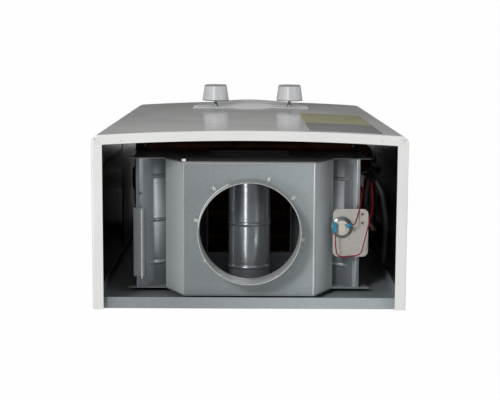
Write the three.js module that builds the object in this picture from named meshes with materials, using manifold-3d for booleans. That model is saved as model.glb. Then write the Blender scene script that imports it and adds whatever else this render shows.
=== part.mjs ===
// Wall-hung open-flue gas water heater, built as separate pieces in millimetres.
// +Z is up, the front faces -Y, and the origin is the centre of the face that lies on the wall.
import * as THREE from 'three';
import { mergeVertices } from 'three/addons/utils/BufferGeometryUtils.js';
import Module from 'manifold-3d';

const wasm = await Module();
wasm.setup();

// Case: a white enamelled steel cover with a bowed front, open at both ends inside a turned-in rim
const caseWidth = 330;
const caseHeight = 550;
const caseDepth = 190; // from the wall to the crown of the front
const frontBow = 5.5;
const caseCorner = 8;
const caseWall = 1.2;
const frontRim = 10.2; // turned in at both ends, along the front
const sideRim = 11.5; // and along the sides
const rimCorner = 2;
const coverWallGap = 1; // the cover stops short of the wall
const reliefWidth = 150;
const reliefHeight = 48;
const reliefRise = 5;
const reliefAboveEnd = 27;
const reliefRoot = 8;

// Gaps and overruns
const seatGap = 0.3; // between pieces that touch
const overrun = 4; // how far a cutting solid runs past what it cuts
const weld = 0.5; // how far joined solids of one piece run into each other

// Back plate and bottom shelf
const plateWall = 1.2;
const plateEndGap = 10; // from the case's ends
const plateReturn = 12;
const hangerSpan = 150;
const hangerBelowTop = 30;
const hangerHead = 12;
const hangerNeck = 6;
const hangerSlot = 14;
const lowerHole = 7;
const lowerHoleAboveBottom = 30;
const shelfSideGap = 11.8; // from the cover's inner face
const shelfFrontGap = 66; // from the crown of the front
const shelfSlots = 7;
const shelfSlotWidth = 8;
const shelfSlotLength = 22;
const shelfSlotPitch = 15;
const shelfSlotY = -40;
const shelfSlotX = -16;

// Draught hood, folded from galvanised sheet
const sheet = 1;
const flueDiameter = 110;
const collarHeight = 33;
const collarTabs = 8;
const collarTabLength = 6;
const collarTabWidth = 9;
const firstTabAngle = 34;
const hoodWallGap = 7.7; // behind the hood
const hoodFrontGap = 37.7; // from the hood's front to the crown of the case
const hoodDrop = 44; // from the case's top end down to the hood's top plate
const hoodTopMargin = 16.5; // of the hood's top plate beside the collar
const hoodSkirtShare = 0.3945; // of the way from the top plate's edge out to the wing's rim
const hoodSkirtHeight = 41;
const hoodShoulderOut = 11; // past the exchanger's end plates
const frontShoulderDrop = 25;
const wingRimOut = 2;
const hoodBaseOut = 6;
const throatHalf = 50;
const throatFrontEdge = 6.3; // from the hood's front and back sheets to the throat
const throatBackEdge = 22.3;
const beadEdge = 23.3; // from the hood's front and back sheets to the outer beads
const beadWidth = 5;
const beadHeight = 1.6;
const baffleRadius = 22.5;
const baffleDrop = 34; // from the hood's top plate down to the baffle's crown
const baffleSkirt = 26;
const frontPanelWidth = 88;
const frontPanelHeight = 66;
const frontPanelAboveBase = 25;
const frontPanelRise = 1;

// Heat exchanger and combustion chamber, in copper
const exchangerDrop = 183; // from the case's top end down to its upper edge
const finHeight = 50;
const finCount = 17;
const finWall = 0.8;
const finInset = 1.2; // from the chamber's front and back faces
const finSetIn = 6; // from the chamber's sides
const chamberSideGap = 39.8; // from the cover's inner face
const chamberFrontGap = 40; // from the crown of the front
const chamberBack = 26;
const chamberWall = 1;
const chamberRim = 9;
const chamberCorner = 12;
const tubeRows = 4;
const tubeEdge = 20; // from the chamber's front and back faces to the outer tubes
const tubeRadius = 7;
const tubeStub = 2;
const tubeSides = 6;
const tubeAboveFoot = 25;
const coilRadius = 6.5;
const coilTurns = 2;
const coilRiseShare = 0.1724; // of the chamber's height, climbed in one turn
const coilFootShare = 0.1638; // of it, below the first turn
const coilTopDrop = 8; // the last front run lies this far below the exchanger's upper edge
const hotPipeRadius = 6.5;
const hotPipeOut = 30; // past the chamber's side
const pipeBend = 14;

// Burner and its gas rail
const burnerSetIn = 4; // from the chamber's sides
const burnerSetBack = 2; // from the chamber's front and back faces
const burnerHeight = 52;
const burnerAboveValve = 12.4;
const burnerWall = 1;
const burnerCorner = 4;
const burnerLedge = 7;
const burnerBars = 6;
const barEdge = 27.5; // from the burner's sides to the middle of the outer bars
const barWidth = 18;
const barNeck = 9;
const barHeight = 32;
const barShoulderShare = 0.42; // of its height, where the wide channel ends
const barNeckShare = 0.62; // and where the narrow neck begins
const injectorHoleRadius = 6;
const injectorRadius = 3;
const injectorSetBack = 1;
const railSize = 14;
const railOverhang = 19.5; // past the middle of the outer bars
const railStandOff = 10;
const railAboveFoot = 9;
const feedRadius = 6;
const burnerLegWidth = 20;
const burnerLegSetIn = 30; // from the burner's sides
const burnerLegTop = 30;

// Controls
const knobSpan = 101.7;
const knobMiddle = -4.45; // of the two knobs, from the case's middle
const knobAboveFoot = 120; // from the case's bottom end
const knobBase = 36.3;
const knobTop = 30.8;
const knobHeight = 22;
const knobGap = 8.6;
const knobEdge = 2.6;
const knobBoreDepth = 12;
const pointerWidth = 2;
const pointerDepth = 0.8;
const spindleRadius = 2.3;
const spindleCollarRadius = 3.4;
const spindleCollarLength = 7;
const spindleTaper = 4;
const spindleSeat = 26;
const spindleHoleRadius = 8;
const bezelMiddle = -1.8; // from the case's middle
const bezelHalfWidth = 78.5;
const bezelHeight = 69;
const bezelCorner = 6;
const bezelWall = 1.5;
const bezelRoundelWidth = 71;
const bezelRoundelHeight = 134;
const bezelHoleRadius = 4.6;

// Gas valve and water valve, side by side on one axis that runs along X
const valveBelowKnob = 10;
const valveAboveAxis = 26;
const valveBelowAxis = 23;
const valveHalfDepth = 32;
const valveFrontGap = 60; // from the valves' faces to the crown of the front
const gasValveOuter = -92;
const gasValveInner = -30;
const solenoidRadius = 14;
const solenoidNeckRadius = 10;
const solenoidLength = 34;
const solenoidNut = 9;
const bossRadius = 11;
const bossLength = 12;
const inletBossRadius = 14;
const inletBossHeight = 8;
const diaphragmRadius = 32;
const diaphragmCoverFace = -4;
const diaphragmSeam = 8;
const diaphragmFlange = 10;
const diaphragmBossRadius = 9;
const diaphragmBossLength = 6;
const diaphragmBolts = 6;
const boltCircle = 27;
const boltRadius = 2.6;
const boltHeight = 3;
const waterValveOuter = 78;
const pushrodRadius = 2.5;
const pushrodBore = 2.8;
const pushrodIntoGas = 14;
const pushrodIntoCover = 6;
const pushrodTravel = 4;
const pushrodCollarRadius = 6;
const pushrodCollarWidth = 3;
const pushrodCollarX = -22;
const switchWidth = 10;
const switchHeight = 14;
const switchAboveAxis = 14;
const switchOuter = -26.5;
const leverWall = 0.8;
const leverLength = 9.5;
const leverPinRadius = 1.2;
const leverWidth = 6.4;
const leverEar = 1.4;
const leverEarDepth = 3;
const leverGap = 0.5; // from the pushrod's collar
const drainRadius = 5;
const drainLength = 16;
const drainCapRadius = 9;
const drainCapHeight = 7;
const drainX = 34;
const drainAhead = 16; // in front of the valve's axis

// Connections below the case
const stubEnd = 25; // how far the three stubs stand below the case
const gasPipeRadius = 10.5;
const gasPipeX = -61;
const coldPipeRadius = 10.5;
const coldPipeX = 50;
const hotStubRadius = 10.5;
const hotStubSideGap = 45.8; // from the cover's inner face
const hotStubHeight = 30; // above the case's bottom end
const pipeBore = 8;
const pipeBoreDepth = 18;
const nutAcrossCorners = 32;
const nutHeight = 11;

// Flue thermostat, its brackets and wiring
const thermostatOut = 8.6; // past the hood's skirt
const thermostatPlateOut = 5; // past the wing's rim
const thermostatPlateIn = 1; // the plate's inner edge lies this far inside the skirt
const thermostatRise = 16; // above the hood's skirt
const thermostatPlateAhead = 19; // of the flue's axis
const thermostatPlateBehind = 34;
const thermostatBehind = 1;
const thermostatPlateCorner = 6;
const thermostatHoleInset = 6.5;
const thermostatHoleEdge = 5.7;
const thermostatHolePitch = 9.7;
const thermostatHoleRadius = 1.8;
const thermostatLegWidth = 20;
const thermostatFlangeRadius = 12;
const thermostatFlangeWall = 1.2;
const thermostatBodyRadius = 8.5;
const thermostatBodyHeight = 9;
const thermostatCapRadius = 6;
const thermostatCapHeight = 5;
const hoodBracketIn = 9; // inside the wing's rim
const hoodBracketOut = 2;
const hoodBracketAhead = 17.5; // of the flue's axis
const hoodBracketBehind = 60;
const hoodBracketDrop = 42;
const leadRadius = 1.1;
const crimpRadius = 2.2;
const crimpLength = 10;
const crimpReach = 7.5;
const crimpSide = 2;
const crimpAcross = 6.6;
const crimpAboveBody = 1.5;
const sleeveRadius = 4.5;
const cableRadius = 3;
const sleeveSideGap = 12.8; // from the cover's inner side
const sleeveFrontGap = 59;
const sleeveTopIn = 12; // its upper end, inwards of its run down the side
const sleeveBelowValve = 8; // where it leaves the side
const sleeveAboveFoot = 28; // its run to the igniter, above the igniter's foot
const cableSideGap = 6.3;
const cableBelowValve = 12;
const cableAboveFoot = 12;

// Pulse igniter, electrodes and battery box
const igniterHalf = 30;
const igniterFront = -40;
const igniterAboveEnd = 25; // from the case's bottom end
const igniterHeight = 45;
const igniterCorner = 4;
const electrodeRadius = 3;
const electrodeSpan = 28;
const electrodeDrop = 13.4; // below the burner's upper edge
const electrodeAhead = 24; // of the burner's front face
const electrodeInto = 14;
const electrodeTipRadius = 1;
const electrodeTip = 14;
const electrodeCollarRadius = 5;
const electrodeCollarWidth = 4;
const leadFrontGap = 9.5; // from the crown of the front
const leadDrop = 3; // below the igniter's top
const batteryDiameter = 34.2;
const batteryHeight = 61.5;
const batteryNub = 5;
const batteryNubHeight = 1.5;
const batteryGap = 0.4;
const batteryBoxSideGap = 51.8; // from the cover's inner face to the box's middle
const batteryBoxBack = -20;
const batteryWall = 1.5;
const lidWall = 1.5;
const lidTongue = 10;
const lidPinRadius = 1.4;

// Facets
const fineSides = 28;
const hexSides = 6;
const roundSides = 16;
const pipeSides = 8;
const leadSides = 6;
const bendSteps = 3;
const arcSteps = 3;
const curveSteps = 9;
const weldTolerance = 1e-4;

// Places worked out from the sizes above
const half = (size) => size / 2;
const caseTop = half(caseHeight);
const caseFoot = -caseTop;
const innerHalf = half(caseWidth) - caseWall;
const bowRadius = (half(caseWidth) ** 2 + frontBow ** 2) / (frontBow * 2);
const bowCentreY = bowRadius - caseDepth;
const hoodFrontY = hoodFrontGap - caseDepth;
const hoodBackY = -hoodWallGap;
const flueY = half(hoodFrontY + hoodBackY);
const hoodTopZ = caseTop - hoodDrop;
const hoodSkirtZ = hoodTopZ - hoodSkirtHeight;
const exchangerTop = caseTop - exchangerDrop;
const baseZ = exchangerTop + seatGap;
const hoodFootZ = baseZ + sheet + seatGap;
const beadPlaces = [hoodFrontY + beadEdge, flueY, hoodBackY - beadEdge];
const finFoot = exchangerTop - finHeight;
const knobZ = caseFoot + knobAboveFoot;
const valveZ = knobZ - valveBelowKnob;
const valveTop = valveZ + valveAboveAxis;
const valveFoot = valveZ - valveBelowAxis;
const valveFront = valveFrontGap - caseDepth;
const valveY = valveFront + valveHalfDepth;
const valveBack = valveY + valveHalfDepth;
const burnerFoot = valveTop + burnerAboveValve;
const burnerTop = burnerFoot + burnerHeight;
const chamberTop = finFoot - seatGap;
const chamberFoot = burnerTop + seatGap;
const chamberHeight = chamberTop - chamberFoot;
const chamberHalf = innerHalf - chamberSideGap;
const chamberFront = caseDepth - chamberFrontGap;
const finHalfWidth = chamberHalf - finSetIn;
const burnerHalf = chamberHalf - burnerSetIn;
const burnerFront = chamberFront - burnerSetBack;
const burnerBack = chamberBack + burnerSetBack;
const barPitch = (burnerHalf - barEdge) * 2 / (burnerBars - 1);
const railHalf = burnerHalf - barEdge + railOverhang;
const baseHalf = chamberHalf + hoodBaseOut;
const wingRimHalf = chamberHalf + wingRimOut;
const hoodFrontHalf = chamberHalf + hoodShoulderOut;
const hoodTopHalf = half(flueDiameter) + hoodTopMargin;
const hoodSkirtHalf = hoodTopHalf + (wingRimHalf - hoodTopHalf) * hoodSkirtShare;
const thermostatX = -hoodSkirtHalf - thermostatOut;
const thermostatY = flueY + thermostatBehind;
const thermostatPlateTop = hoodSkirtZ + thermostatRise;
const tubeZ = finFoot + tubeAboveFoot;
const tubePitch = (chamberFront - chamberBack - tubeEdge * 2) / (tubeRows - 1);
const tubeMiddleY = -half(chamberFront + chamberBack);
const tubeY = (row) => tubeMiddleY + (row - half(tubeRows - 1)) * tubePitch;
const stubX = finHalfWidth + tubeStub;
const frontAt = (x) => bowCentreY - Math.sqrt(bowRadius ** 2 - x ** 2);
const knobX = (side) => knobMiddle + side * half(knobSpan);
const knobBaseY = frontAt(knobX(-1)) - knobGap;
const plateHeight = caseHeight - plateEndGap * 2;
const plateFoot = -half(plateHeight);
const shelfZ = plateFoot + plateWall + seatGap;
const hotStubX = hotStubSideGap - innerHalf;
const igniterFoot = caseFoot + igniterAboveEnd;
const igniterTop = igniterFoot + igniterHeight;
const electrodeZ = burnerTop - electrodeDrop;
const electrodeFront = -burnerFront - electrodeAhead;
const electrodeBack = electrodeInto - burnerFront;
const batteryBoxX = innerHalf - batteryBoxSideGap;
const pipeFoot = caseFoot - stubEnd;
const railY = -burnerFront - railStandOff - half(railSize);
const railZ = burnerFoot + railAboveFoot;

// Turns a closed three.js geometry into a solid that can be joined and cut
function toSolid(geometry) {
  const bare = geometry.clone();
  bare.deleteAttribute('normal');
  bare.deleteAttribute('uv');
  const merged = mergeVertices(bare, weldTolerance);
  const index = merged.index.array;
  const corners = [];
  for (let i = 0; i < index.length; i += 3) {
    const [a, b, c] = [index[i], index[i + 1], index[i + 2]];
    if (a !== b && b !== c && c !== a) corners.push(a, b, c);
  }
  const solidFrom = (triangles) => new wasm.Manifold(new wasm.Mesh({
    numProp: 3,
    vertProperties: merged.attributes.position.array,
    triVerts: new Uint32Array(triangles),
  }));
  const solid = solidFrom(corners);
  return solid.volume() > 0 ? solid : solidFrom(corners.reverse());
}

// Turns a solid back into a geometry that three.js can draw
function toGeometry(solid) {
  const mesh = solid.getMesh();
  const geometry = new THREE.BufferGeometry();
  geometry.setAttribute('position', new THREE.BufferAttribute(mesh.vertProperties, mesh.numProp));
  geometry.setIndex(new THREE.BufferAttribute(mesh.triVerts, 1));
  geometry.computeVertexNormals();
  return geometry;
}

const join = (...solids) => solids.reduce((whole, piece) => whole.add(piece));
const cut = (whole, ...tools) => tools.reduce((rest, tool) => rest.subtract(tool), whole);

// A stretch of the given size about its middle
const about = (middle, size) => [middle - half(size), middle + half(size)];

// A box between pairs of limits along X, Y and Z
function block(x, y, z) {
  const geometry = new THREE.BoxGeometry(x[1] - x[0], y[1] - y[0], z[1] - z[0]);
  return toSolid(geometry.translate(half(x[0] + x[1]), half(y[0] + y[1]), half(z[0] + z[1])));
}

const unitX = new THREE.Vector3(1, 0, 0);
const unitY = new THREE.Vector3(0, 1, 0);
const unitZ = new THREE.Vector3(0, 0, 1);

// Turns a form drawn flat and raised along its own z so that it is raised along the named axis:
// the drawing's x and y become (x, y) for z, (x, z) for y and (y, z) for x.
const raisedAlong = {
  x: new THREE.Matrix4().makeBasis(unitY, unitZ, unitX),
  y: new THREE.Matrix4().makeBasis(unitX, unitZ, unitY.clone().negate()),
  z: new THREE.Matrix4(),
};

// A drawn outline extruded along an axis between two limits
function extrusion(axis, shape, ends, steps = arcSteps) {
  const settings = { depth: ends[1] - ends[0], bevelEnabled: false, curveSegments: steps };
  const geometry = new THREE.ExtrudeGeometry(shape, settings).applyMatrix4(raisedAlong[axis]);
  const start = { x: [ends[0], 0, 0], y: [0, ends[1], 0], z: [0, 0, ends[0]] }[axis];
  return toSolid(geometry.translate(...start));
}

// A closed profile of [radius, distance] points turned about an axis through the given place
function turning(axis, profile, place, sides = roundSides) {
  const points = profile.map(([radius, along]) => new THREE.Vector2(radius, along));
  const geometry = new THREE.LatheGeometry([...points, points[0]], sides);
  if (axis === 'z') geometry.rotateX(half(Math.PI));
  if (axis === 'x') geometry.rotateZ(-half(Math.PI));
  const shift = { x: [0, place[0], place[1]], y: [place[0], 0, place[1]], z: [place[0], place[1], 0] };
  return toSolid(geometry.translate(...shift[axis]));
}

// A round rod along an axis between two limits
function rod(axis, radius, ends, place, sides = roundSides) {
  return turning(axis, [[0, ends[0]], [radius, ends[0]], [radius, ends[1]], [0, ends[1]]], place, sides);
}

// A round tube wall along an axis between two limits
function ring(axis, inner, outer, ends, place, sides = roundSides) {
  const profile = [[inner, ends[0]], [outer, ends[0]], [outer, ends[1]], [inner, ends[1]]];
  return turning(axis, profile, place, sides);
}

// Sheet metal seen edge-on: a line of points given a thickness, from near to far beside it
function folded(points, near, far) {
  const line = points.map(([x, y]) => new THREE.Vector2(x, y));
  const normals = line.slice(1).map((end, i) => {
    const along = end.clone().sub(line[i]).normalize();
    return new THREE.Vector2(-along.y, along.x);
  });
  const beside = (distance) => line.map((point, i) => {
    const before = normals[Math.max(i - 1, 0)];
    const after = normals[Math.min(i, normals.length - 1)];
    const mitre = before.clone().add(after).normalize();
    return point.clone().addScaledVector(mitre, distance / mitre.dot(before));
  });
  return new THREE.Shape([...beside(near), ...beside(far).reverse()]);
}

// A rectangle with rounded corners, given by its limits in the drawing
function roundedRectangle(x, y, radius) {
  const shape = new THREE.Shape();
  const quarter = half(Math.PI);
  shape.absarc(x[1] - radius, y[1] - radius, radius, 0, quarter);
  shape.absarc(x[0] + radius, y[1] - radius, radius, quarter, Math.PI);
  shape.absarc(x[0] + radius, y[0] + radius, radius, Math.PI, Math.PI + quarter);
  shape.absarc(x[1] - radius, y[0] + radius, radius, Math.PI + quarter, Math.PI * 2);
  return shape;
}

// A pipe's centre line: straight lengths joined by bends, with a station only where it turns
class PipeRun extends THREE.Curve {
  constructor(points, bend) {
    super();
    const places = points.map((point) => new THREE.Vector3(...point));
    this.stations = [places[0]];
    for (let i = 1; i < places.length - 1; i += 1) {
      const back = places[i - 1].clone().sub(places[i]);
      const ahead = places[i + 1].clone().sub(places[i]);
      const wanted = bend / Math.tan(half(back.angleTo(ahead)));
      const setBack = Math.min(wanted, back.length() * PipeRun.legShare, ahead.length() * PipeRun.legShare);
      const entry = places[i].clone().addScaledVector(back.normalize(), setBack);
      const exit = places[i].clone().addScaledVector(ahead.normalize(), setBack);
      this.stations.push(...new THREE.QuadraticBezierCurve3(entry, places[i], exit).getPoints(bendSteps));
    }
    this.stations.push(places[places.length - 1]);
  }

  nearest(share) {
    return Math.round(share * (this.stations.length - 1));
  }

  getPoint(share) {
    return this.stations[this.nearest(share)].clone();
  }

  getPointAt(share) {
    return this.getPoint(share);
  }

  getTangentAt(share) {
    const i = this.nearest(share);
    const before = this.stations[Math.max(i - 1, 0)];
    const after = this.stations[Math.min(i + 1, this.stations.length - 1)];
    return after.clone().sub(before).normalize();
  }
}
PipeRun.legShare = 0.48;

// A round pipe or wire along a list of corner points
function pipe(points, radius, bend, sides = pipeSides) {
  const run = new PipeRun(points, bend);
  const section = new THREE.Shape(Array.from({ length: sides }, (_, i) => {
    const turn = Math.PI * 2 * (i / sides);
    return new THREE.Vector2(radius * Math.cos(turn), radius * Math.sin(turn));
  }));
  const settings = { steps: run.stations.length - 1, extrudePath: run };
  return toSolid(new THREE.ExtrudeGeometry(section, settings));
}

// Colours and finishes
const finish = (color, roughness, metalness) => new THREE.MeshStandardMaterial({
  color, roughness, metalness,
});
const finishes = {
  enamel: () => finish('#dcdcd9', 0.3, 0),
  galvanised: () => finish('#8f979a', 0.4, 0.9),
  copper: () => finish('#8a4b2c', 0.4, 0.9),
  brass: () => finish('#b59a5b', 0.35, 0.9),
  stainless: () => finish('#a9acab', 0.35, 0.9),
  silver: () => finish('#c9cac9', 0.35, 0.4),
  greyPlastic: () => finish('#b9babb', 0.4, 0),
  chrome: () => finish('#c8ced0', 0.15, 1),
  whiteCeramic: () => finish('#e8e3d8', 0.4, 0),
  blackPlastic: () => finish('#26272a', 0.5, 0),
  redWire: () => finish('#a32020', 0.45, 0),
  greySheath: () => finish('#6d7068', 0.5, 0),
  blackSleeve: () => finish('#1c1e22', 0.7, 0),
  batteryJacket: () => finish('#39507a', 0.4, 0.3),
};

const heater = new THREE.Group();

// Adds one named piece with its finish
function add(name, solid, finishName) {
  const mesh = new THREE.Mesh(toGeometry(solid), finishes[finishName]());
  mesh.name = name;
  heater.add(mesh);
}

// Plan of the case: two sides, two rounded corners and the bowed front, drawn inside the outer face by
// inset, with its open side run past the wall by past
function caseOutline(inset, corner, past) {
  const side = half(caseWidth) - inset;
  const bow = bowRadius - inset;
  const cornerX = side - corner;
  const cornerY = bowCentreY - Math.sqrt((bow - corner) ** 2 - cornerX ** 2);
  const lean = Math.asin(cornerX / (bow - corner));
  const down = -half(Math.PI);
  const shape = new THREE.Shape();
  shape.moveTo(-side, past);
  shape.lineTo(-side, cornerY);
  shape.absarc(-cornerX, cornerY, corner, -Math.PI, down - lean);
  shape.absarc(0, bowCentreY, bow, down - lean, down + lean);
  shape.absarc(cornerX, cornerY, corner, down + lean, 0);
  shape.lineTo(side, past);
  return shape;
}

function frontCover() {
  const whole = extrusion('z', caseOutline(0, caseCorner, -coverWallGap), [caseFoot, caseTop]);
  const inside = extrusion('z', caseOutline(caseWall, caseCorner - caseWall, overrun),
    [caseFoot + caseWall, caseTop - caseWall]);
  const rimHalf = half(caseWidth) - sideRim;
  const through = [caseFoot - overrun, caseTop + overrun];
  const ends = extrusion('z', caseOutline(frontRim, rimCorner, overrun), through)
    .intersect(block([-rimHalf, rimHalf], [-caseDepth, overrun], through));
  const reliefZ = caseFoot + reliefAboveEnd;
  const dome = (wall) => toSolid(new THREE.SphereGeometry(1, roundSides, half(roundSides))
    .scale(half(reliefWidth) - wall, reliefRoot + reliefRise - wall, half(reliefHeight) - wall)
    .translate(0, reliefRoot - caseDepth, reliefZ));
  const holes = [-1, 1].map((side) => rod('y', spindleHoleRadius,
    [-caseDepth - overrun, -caseDepth + frontBow + overrun], [knobX(side), knobZ]));
  return cut(join(whole, dome(0)), inside, ends, dome(caseWall), ...holes);
}

// Keyhole: a round for the screw's head and a narrow slot above it
function keyhole(x, z, ends) {
  return join(rod('y', half(hangerHead), ends, [x, z]),
    block(about(x, hangerNeck), ends, [z, z + hangerSlot]));
}

function backPlate() {
  const outer = innerHalf - seatGap;
  const z = about(0, plateHeight);
  const y = [-plateWall, 0];
  const tray = cut(block([-outer, outer], [-plateReturn, 0], z),
    block([plateWall - outer, outer - plateWall], [-plateReturn - overrun, -plateWall],
      [z[0] + plateWall, z[1] - plateWall]));
  const through = [y[0] - overrun, overrun];
  const holes = [-1, 1].flatMap((side) => [
    keyhole(side * half(hangerSpan), z[1] - hangerBelowTop, through),
    rod('y', half(lowerHole), through, [side * half(hangerSpan), z[0] + lowerHoleAboveBottom]),
  ]);
  return cut(tray, ...holes);
}

const batteryInnerHalf = half(batteryDiameter * 2 + batteryGap * 3);
const batteryInnerDepth = batteryDiameter + batteryGap * 2;
const batteryX = (side) => batteryBoxX + side * half(batteryDiameter + batteryGap);
const batteryY = batteryBoxBack - batteryWall - half(batteryInnerDepth);
const batteryBoxFront = batteryBoxBack - batteryWall * 2 - batteryInnerDepth;
const batteryOuterHalf = batteryInnerHalf + batteryWall;
const batteryFoot = shelfZ + batteryGap;
const batteryRoof = batteryFoot + batteryHeight + batteryNubHeight + batteryGap;

function bottomShelf() {
  const z = [shelfZ, shelfZ + plateWall];
  const through = [z[0] - overrun, z[1] + overrun];
  const y = [shelfFrontGap - caseDepth, -plateWall - seatGap];
  const x = [shelfSideGap - innerHalf, innerHalf - shelfSideGap];
  const pipes = [[gasPipeX, gasPipeRadius], [coldPipeX, coldPipeRadius], [hotStubX, hotStubRadius]]
    .map(([pipeX, radius]) => rod('z', radius + seatGap, through, [pipeX, valveY]));
  const batteryHole = block(about(batteryBoxX, (batteryOuterHalf + seatGap) * 2),
    [batteryBoxFront - seatGap, batteryBoxBack + seatGap], through);
  const slots = Array.from({ length: shelfSlots }, (_, i) => {
    const slotX = shelfSlotX + (i - half(shelfSlots - 1)) * shelfSlotPitch;
    return block(about(slotX, shelfSlotWidth), about(shelfSlotY, shelfSlotLength), through);
  });
  const sill = block(x, [y[0], y[0] + plateWall], [z[0], z[0] + plateReturn]);
  return cut(join(block(x, y, z), sill), ...pipes, batteryHole, ...slots);
}

// Bezel: a thin plate that follows the bow of the front, a band with a tall oval across its middle
function controlBezel() {
  const width = about(bezelMiddle, bezelHalfWidth * 2);
  const band = roundedRectangle(width, about(knobZ, bezelHeight), bezelCorner);
  const oval = new THREE.Shape();
  oval.absellipse(bezelMiddle, knobZ, half(bezelRoundelWidth), half(bezelRoundelHeight), 0, Math.PI * 2);
  const y = [-caseDepth - bezelWall * 2, -caseDepth + frontBow + overrun];
  const outline = join(extrusion('y', band, y), extrusion('y', oval, y, half(fineSides)));
  const z = about(knobZ, bezelRoundelHeight + overrun);
  const arc = new THREE.Shape();
  const lean = Math.asin((bezelHalfWidth - bezelMiddle + overrun) / bowRadius);
  const down = -half(Math.PI);
  arc.absarc(0, bowCentreY, bowRadius + seatGap + bezelWall, down - lean, down + lean);
  arc.absarc(0, bowCentreY, bowRadius + seatGap, down + lean, down - lean, true);
  const holes = [-1, 1].map((side) => rod('y', bezelHoleRadius, y, [knobX(side), knobZ]));
  return cut(extrusion('z', arc, z).intersect(outline), ...holes);
}

// Knob: a tapered cup with a rounded rim, a blind bore for its spindle and a pointer groove in its face
function knob(x) {
  const base = knobBaseY;
  const face = base - knobHeight;
  const [foot, top] = [half(knobBase), half(knobTop)];
  const bore = spindleRadius + seatGap;
  const profile = [[bore, base], [foot, base], [top, face + knobEdge]];
  for (let i = 1; i <= arcSteps; i += 1) {
    const turn = half(Math.PI) * (i / arcSteps);
    profile.push([top - knobEdge * (1 - Math.cos(turn)), face + knobEdge * (1 - Math.sin(turn))]);
  }
  profile.push([0, face], [0, base - knobBoreDepth], [bore, base - knobBoreDepth]);
  const depth = [face - overrun, face + pointerDepth];
  const pointer = block(about(x, pointerWidth), depth, [knobZ, knobZ + foot]);
  return cut(turning('y', profile, [x, knobZ], fineSides), pointer);
}

function spindle(x) {
  const tip = knobBaseY - knobBoreDepth + seatGap;
  const seat = valveFront - bossLength + spindleSeat;
  const panel = frontAt(x);
  const collar = [panel - bezelWall - spindleCollarLength, panel - bezelWall - seatGap * 2];
  return turning('y', [[0, tip], [spindleRadius, tip], [spindleRadius, collar[0]],
    [spindleCollarRadius, collar[0] + spindleTaper], [spindleCollarRadius, collar[1] + spindleCollarLength],
    [spindleRadius, collar[1] + spindleCollarLength], [spindleRadius, seat], [0, seat]],
  [x, knobZ], pipeSides);
}

// Flue collar: a tube with small tabs folded out on to the hood's top plate
function flueCollar() {
  const outer = half(flueDiameter);
  const foot = hoodTopZ + seatGap;
  const tabs = Array.from({ length: collarTabs }, (_, i) => {
    const turn = THREE.MathUtils.degToRad(firstTabAngle) + Math.PI * 2 * (i / collarTabs);
    const tab = new THREE.BoxGeometry(collarTabLength + weld, collarTabWidth, sheet)
      .translate(outer + half(collarTabLength - weld), 0, foot + half(sheet))
      .rotateZ(turn).translate(0, flueY, 0);
    return toSolid(tab);
  });
  return join(ring('z', outer - sheet, outer, [foot, foot + collarHeight], [0, flueY], fineSides), ...tabs);
}

// Hood: top plate with two sloping sides, folded from one sheet
function hoodShell() {
  const line = [[hoodSkirtHalf, hoodSkirtZ], [hoodTopHalf, hoodTopZ], [-hoodTopHalf, hoodTopZ],
    [-hoodSkirtHalf, hoodSkirtZ]];
  const y = [hoodFrontY + seatGap, hoodBackY - seatGap];
  const hole = rod('z', half(flueDiameter) - sheet, about(hoodTopZ, overrun * 2), [0, flueY], fineSides);
  return cut(extrusion('y', folded(line, 0, sheet), y), hole);
}

// Outline of the hood's front and back sheets: the left half mirrors the right half
function hoodEndOutline() {
  const right = [[baseHalf, hoodFootZ], [baseHalf, hoodSkirtZ - frontShoulderDrop],
    [hoodFrontHalf, hoodSkirtZ], [hoodSkirtHalf, hoodSkirtZ], [hoodTopHalf, hoodTopZ]];
  const left = right.map(([x, z]) => [-x, z]).reverse();
  return new THREE.Shape([...right, ...left].map(([x, z]) => new THREE.Vector2(x, z)));
}

function hoodFrontSheet() {
  const panelZ = [hoodFootZ + frontPanelAboveBase, hoodFootZ + frontPanelAboveBase + frontPanelHeight];
  const panel = roundedRectangle(about(0, frontPanelWidth), panelZ, caseCorner);
  const face = hoodFrontY - sheet;
  return join(extrusion('y', hoodEndOutline(), [face, hoodFrontY]),
    extrusion('y', panel, [face - frontPanelRise, face + half(sheet)]));
}

function hoodBackSheet() {
  return extrusion('y', hoodEndOutline(), [hoodBackY, hoodBackY + sheet]);
}

function hoodBase() {
  const z = [baseZ, baseZ + sheet];
  const throat = block([sheet - throatHalf, throatHalf - sheet],
    [hoodFrontY + throatFrontEdge, hoodBackY - throatBackEdge], about(baseZ, overrun * 2));
  return cut(block([-baseHalf, baseHalf], [hoodFrontY - sheet, hoodBackY + sheet], z), throat);
}

// Wing: a trumpet-curved sheet from the rim down to the throat, stiffened by three beads across it
function wing(side) {
  const flareShare = 0.16; // how far out of the throat the curve's control point lies
  const risesShare = 0.72; // and how far up
  const curve = new THREE.QuadraticBezierCurve(
    new THREE.Vector2(wingRimHalf, hoodSkirtZ),
    new THREE.Vector2(throatHalf + (wingRimHalf - throatHalf) * flareShare,
      hoodFootZ + (hoodSkirtZ - hoodFootZ) * risesShare),
    new THREE.Vector2(throatHalf, hoodFootZ));
  const line = curve.getPoints(curveSteps).map((point) => [side * point.x, point.y]);
  const y = [hoodFrontY + seatGap, hoodBackY - seatGap];
  const wall = extrusion('y', folded(line, 0, side * sheet), y);
  const beads = beadPlaces.map((place) => extrusion('y',
    folded(line.slice(1, -1), half(side * sheet), -side * beadHeight), about(place, beadWidth)));
  return join(wall, ...beads);
}

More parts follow.
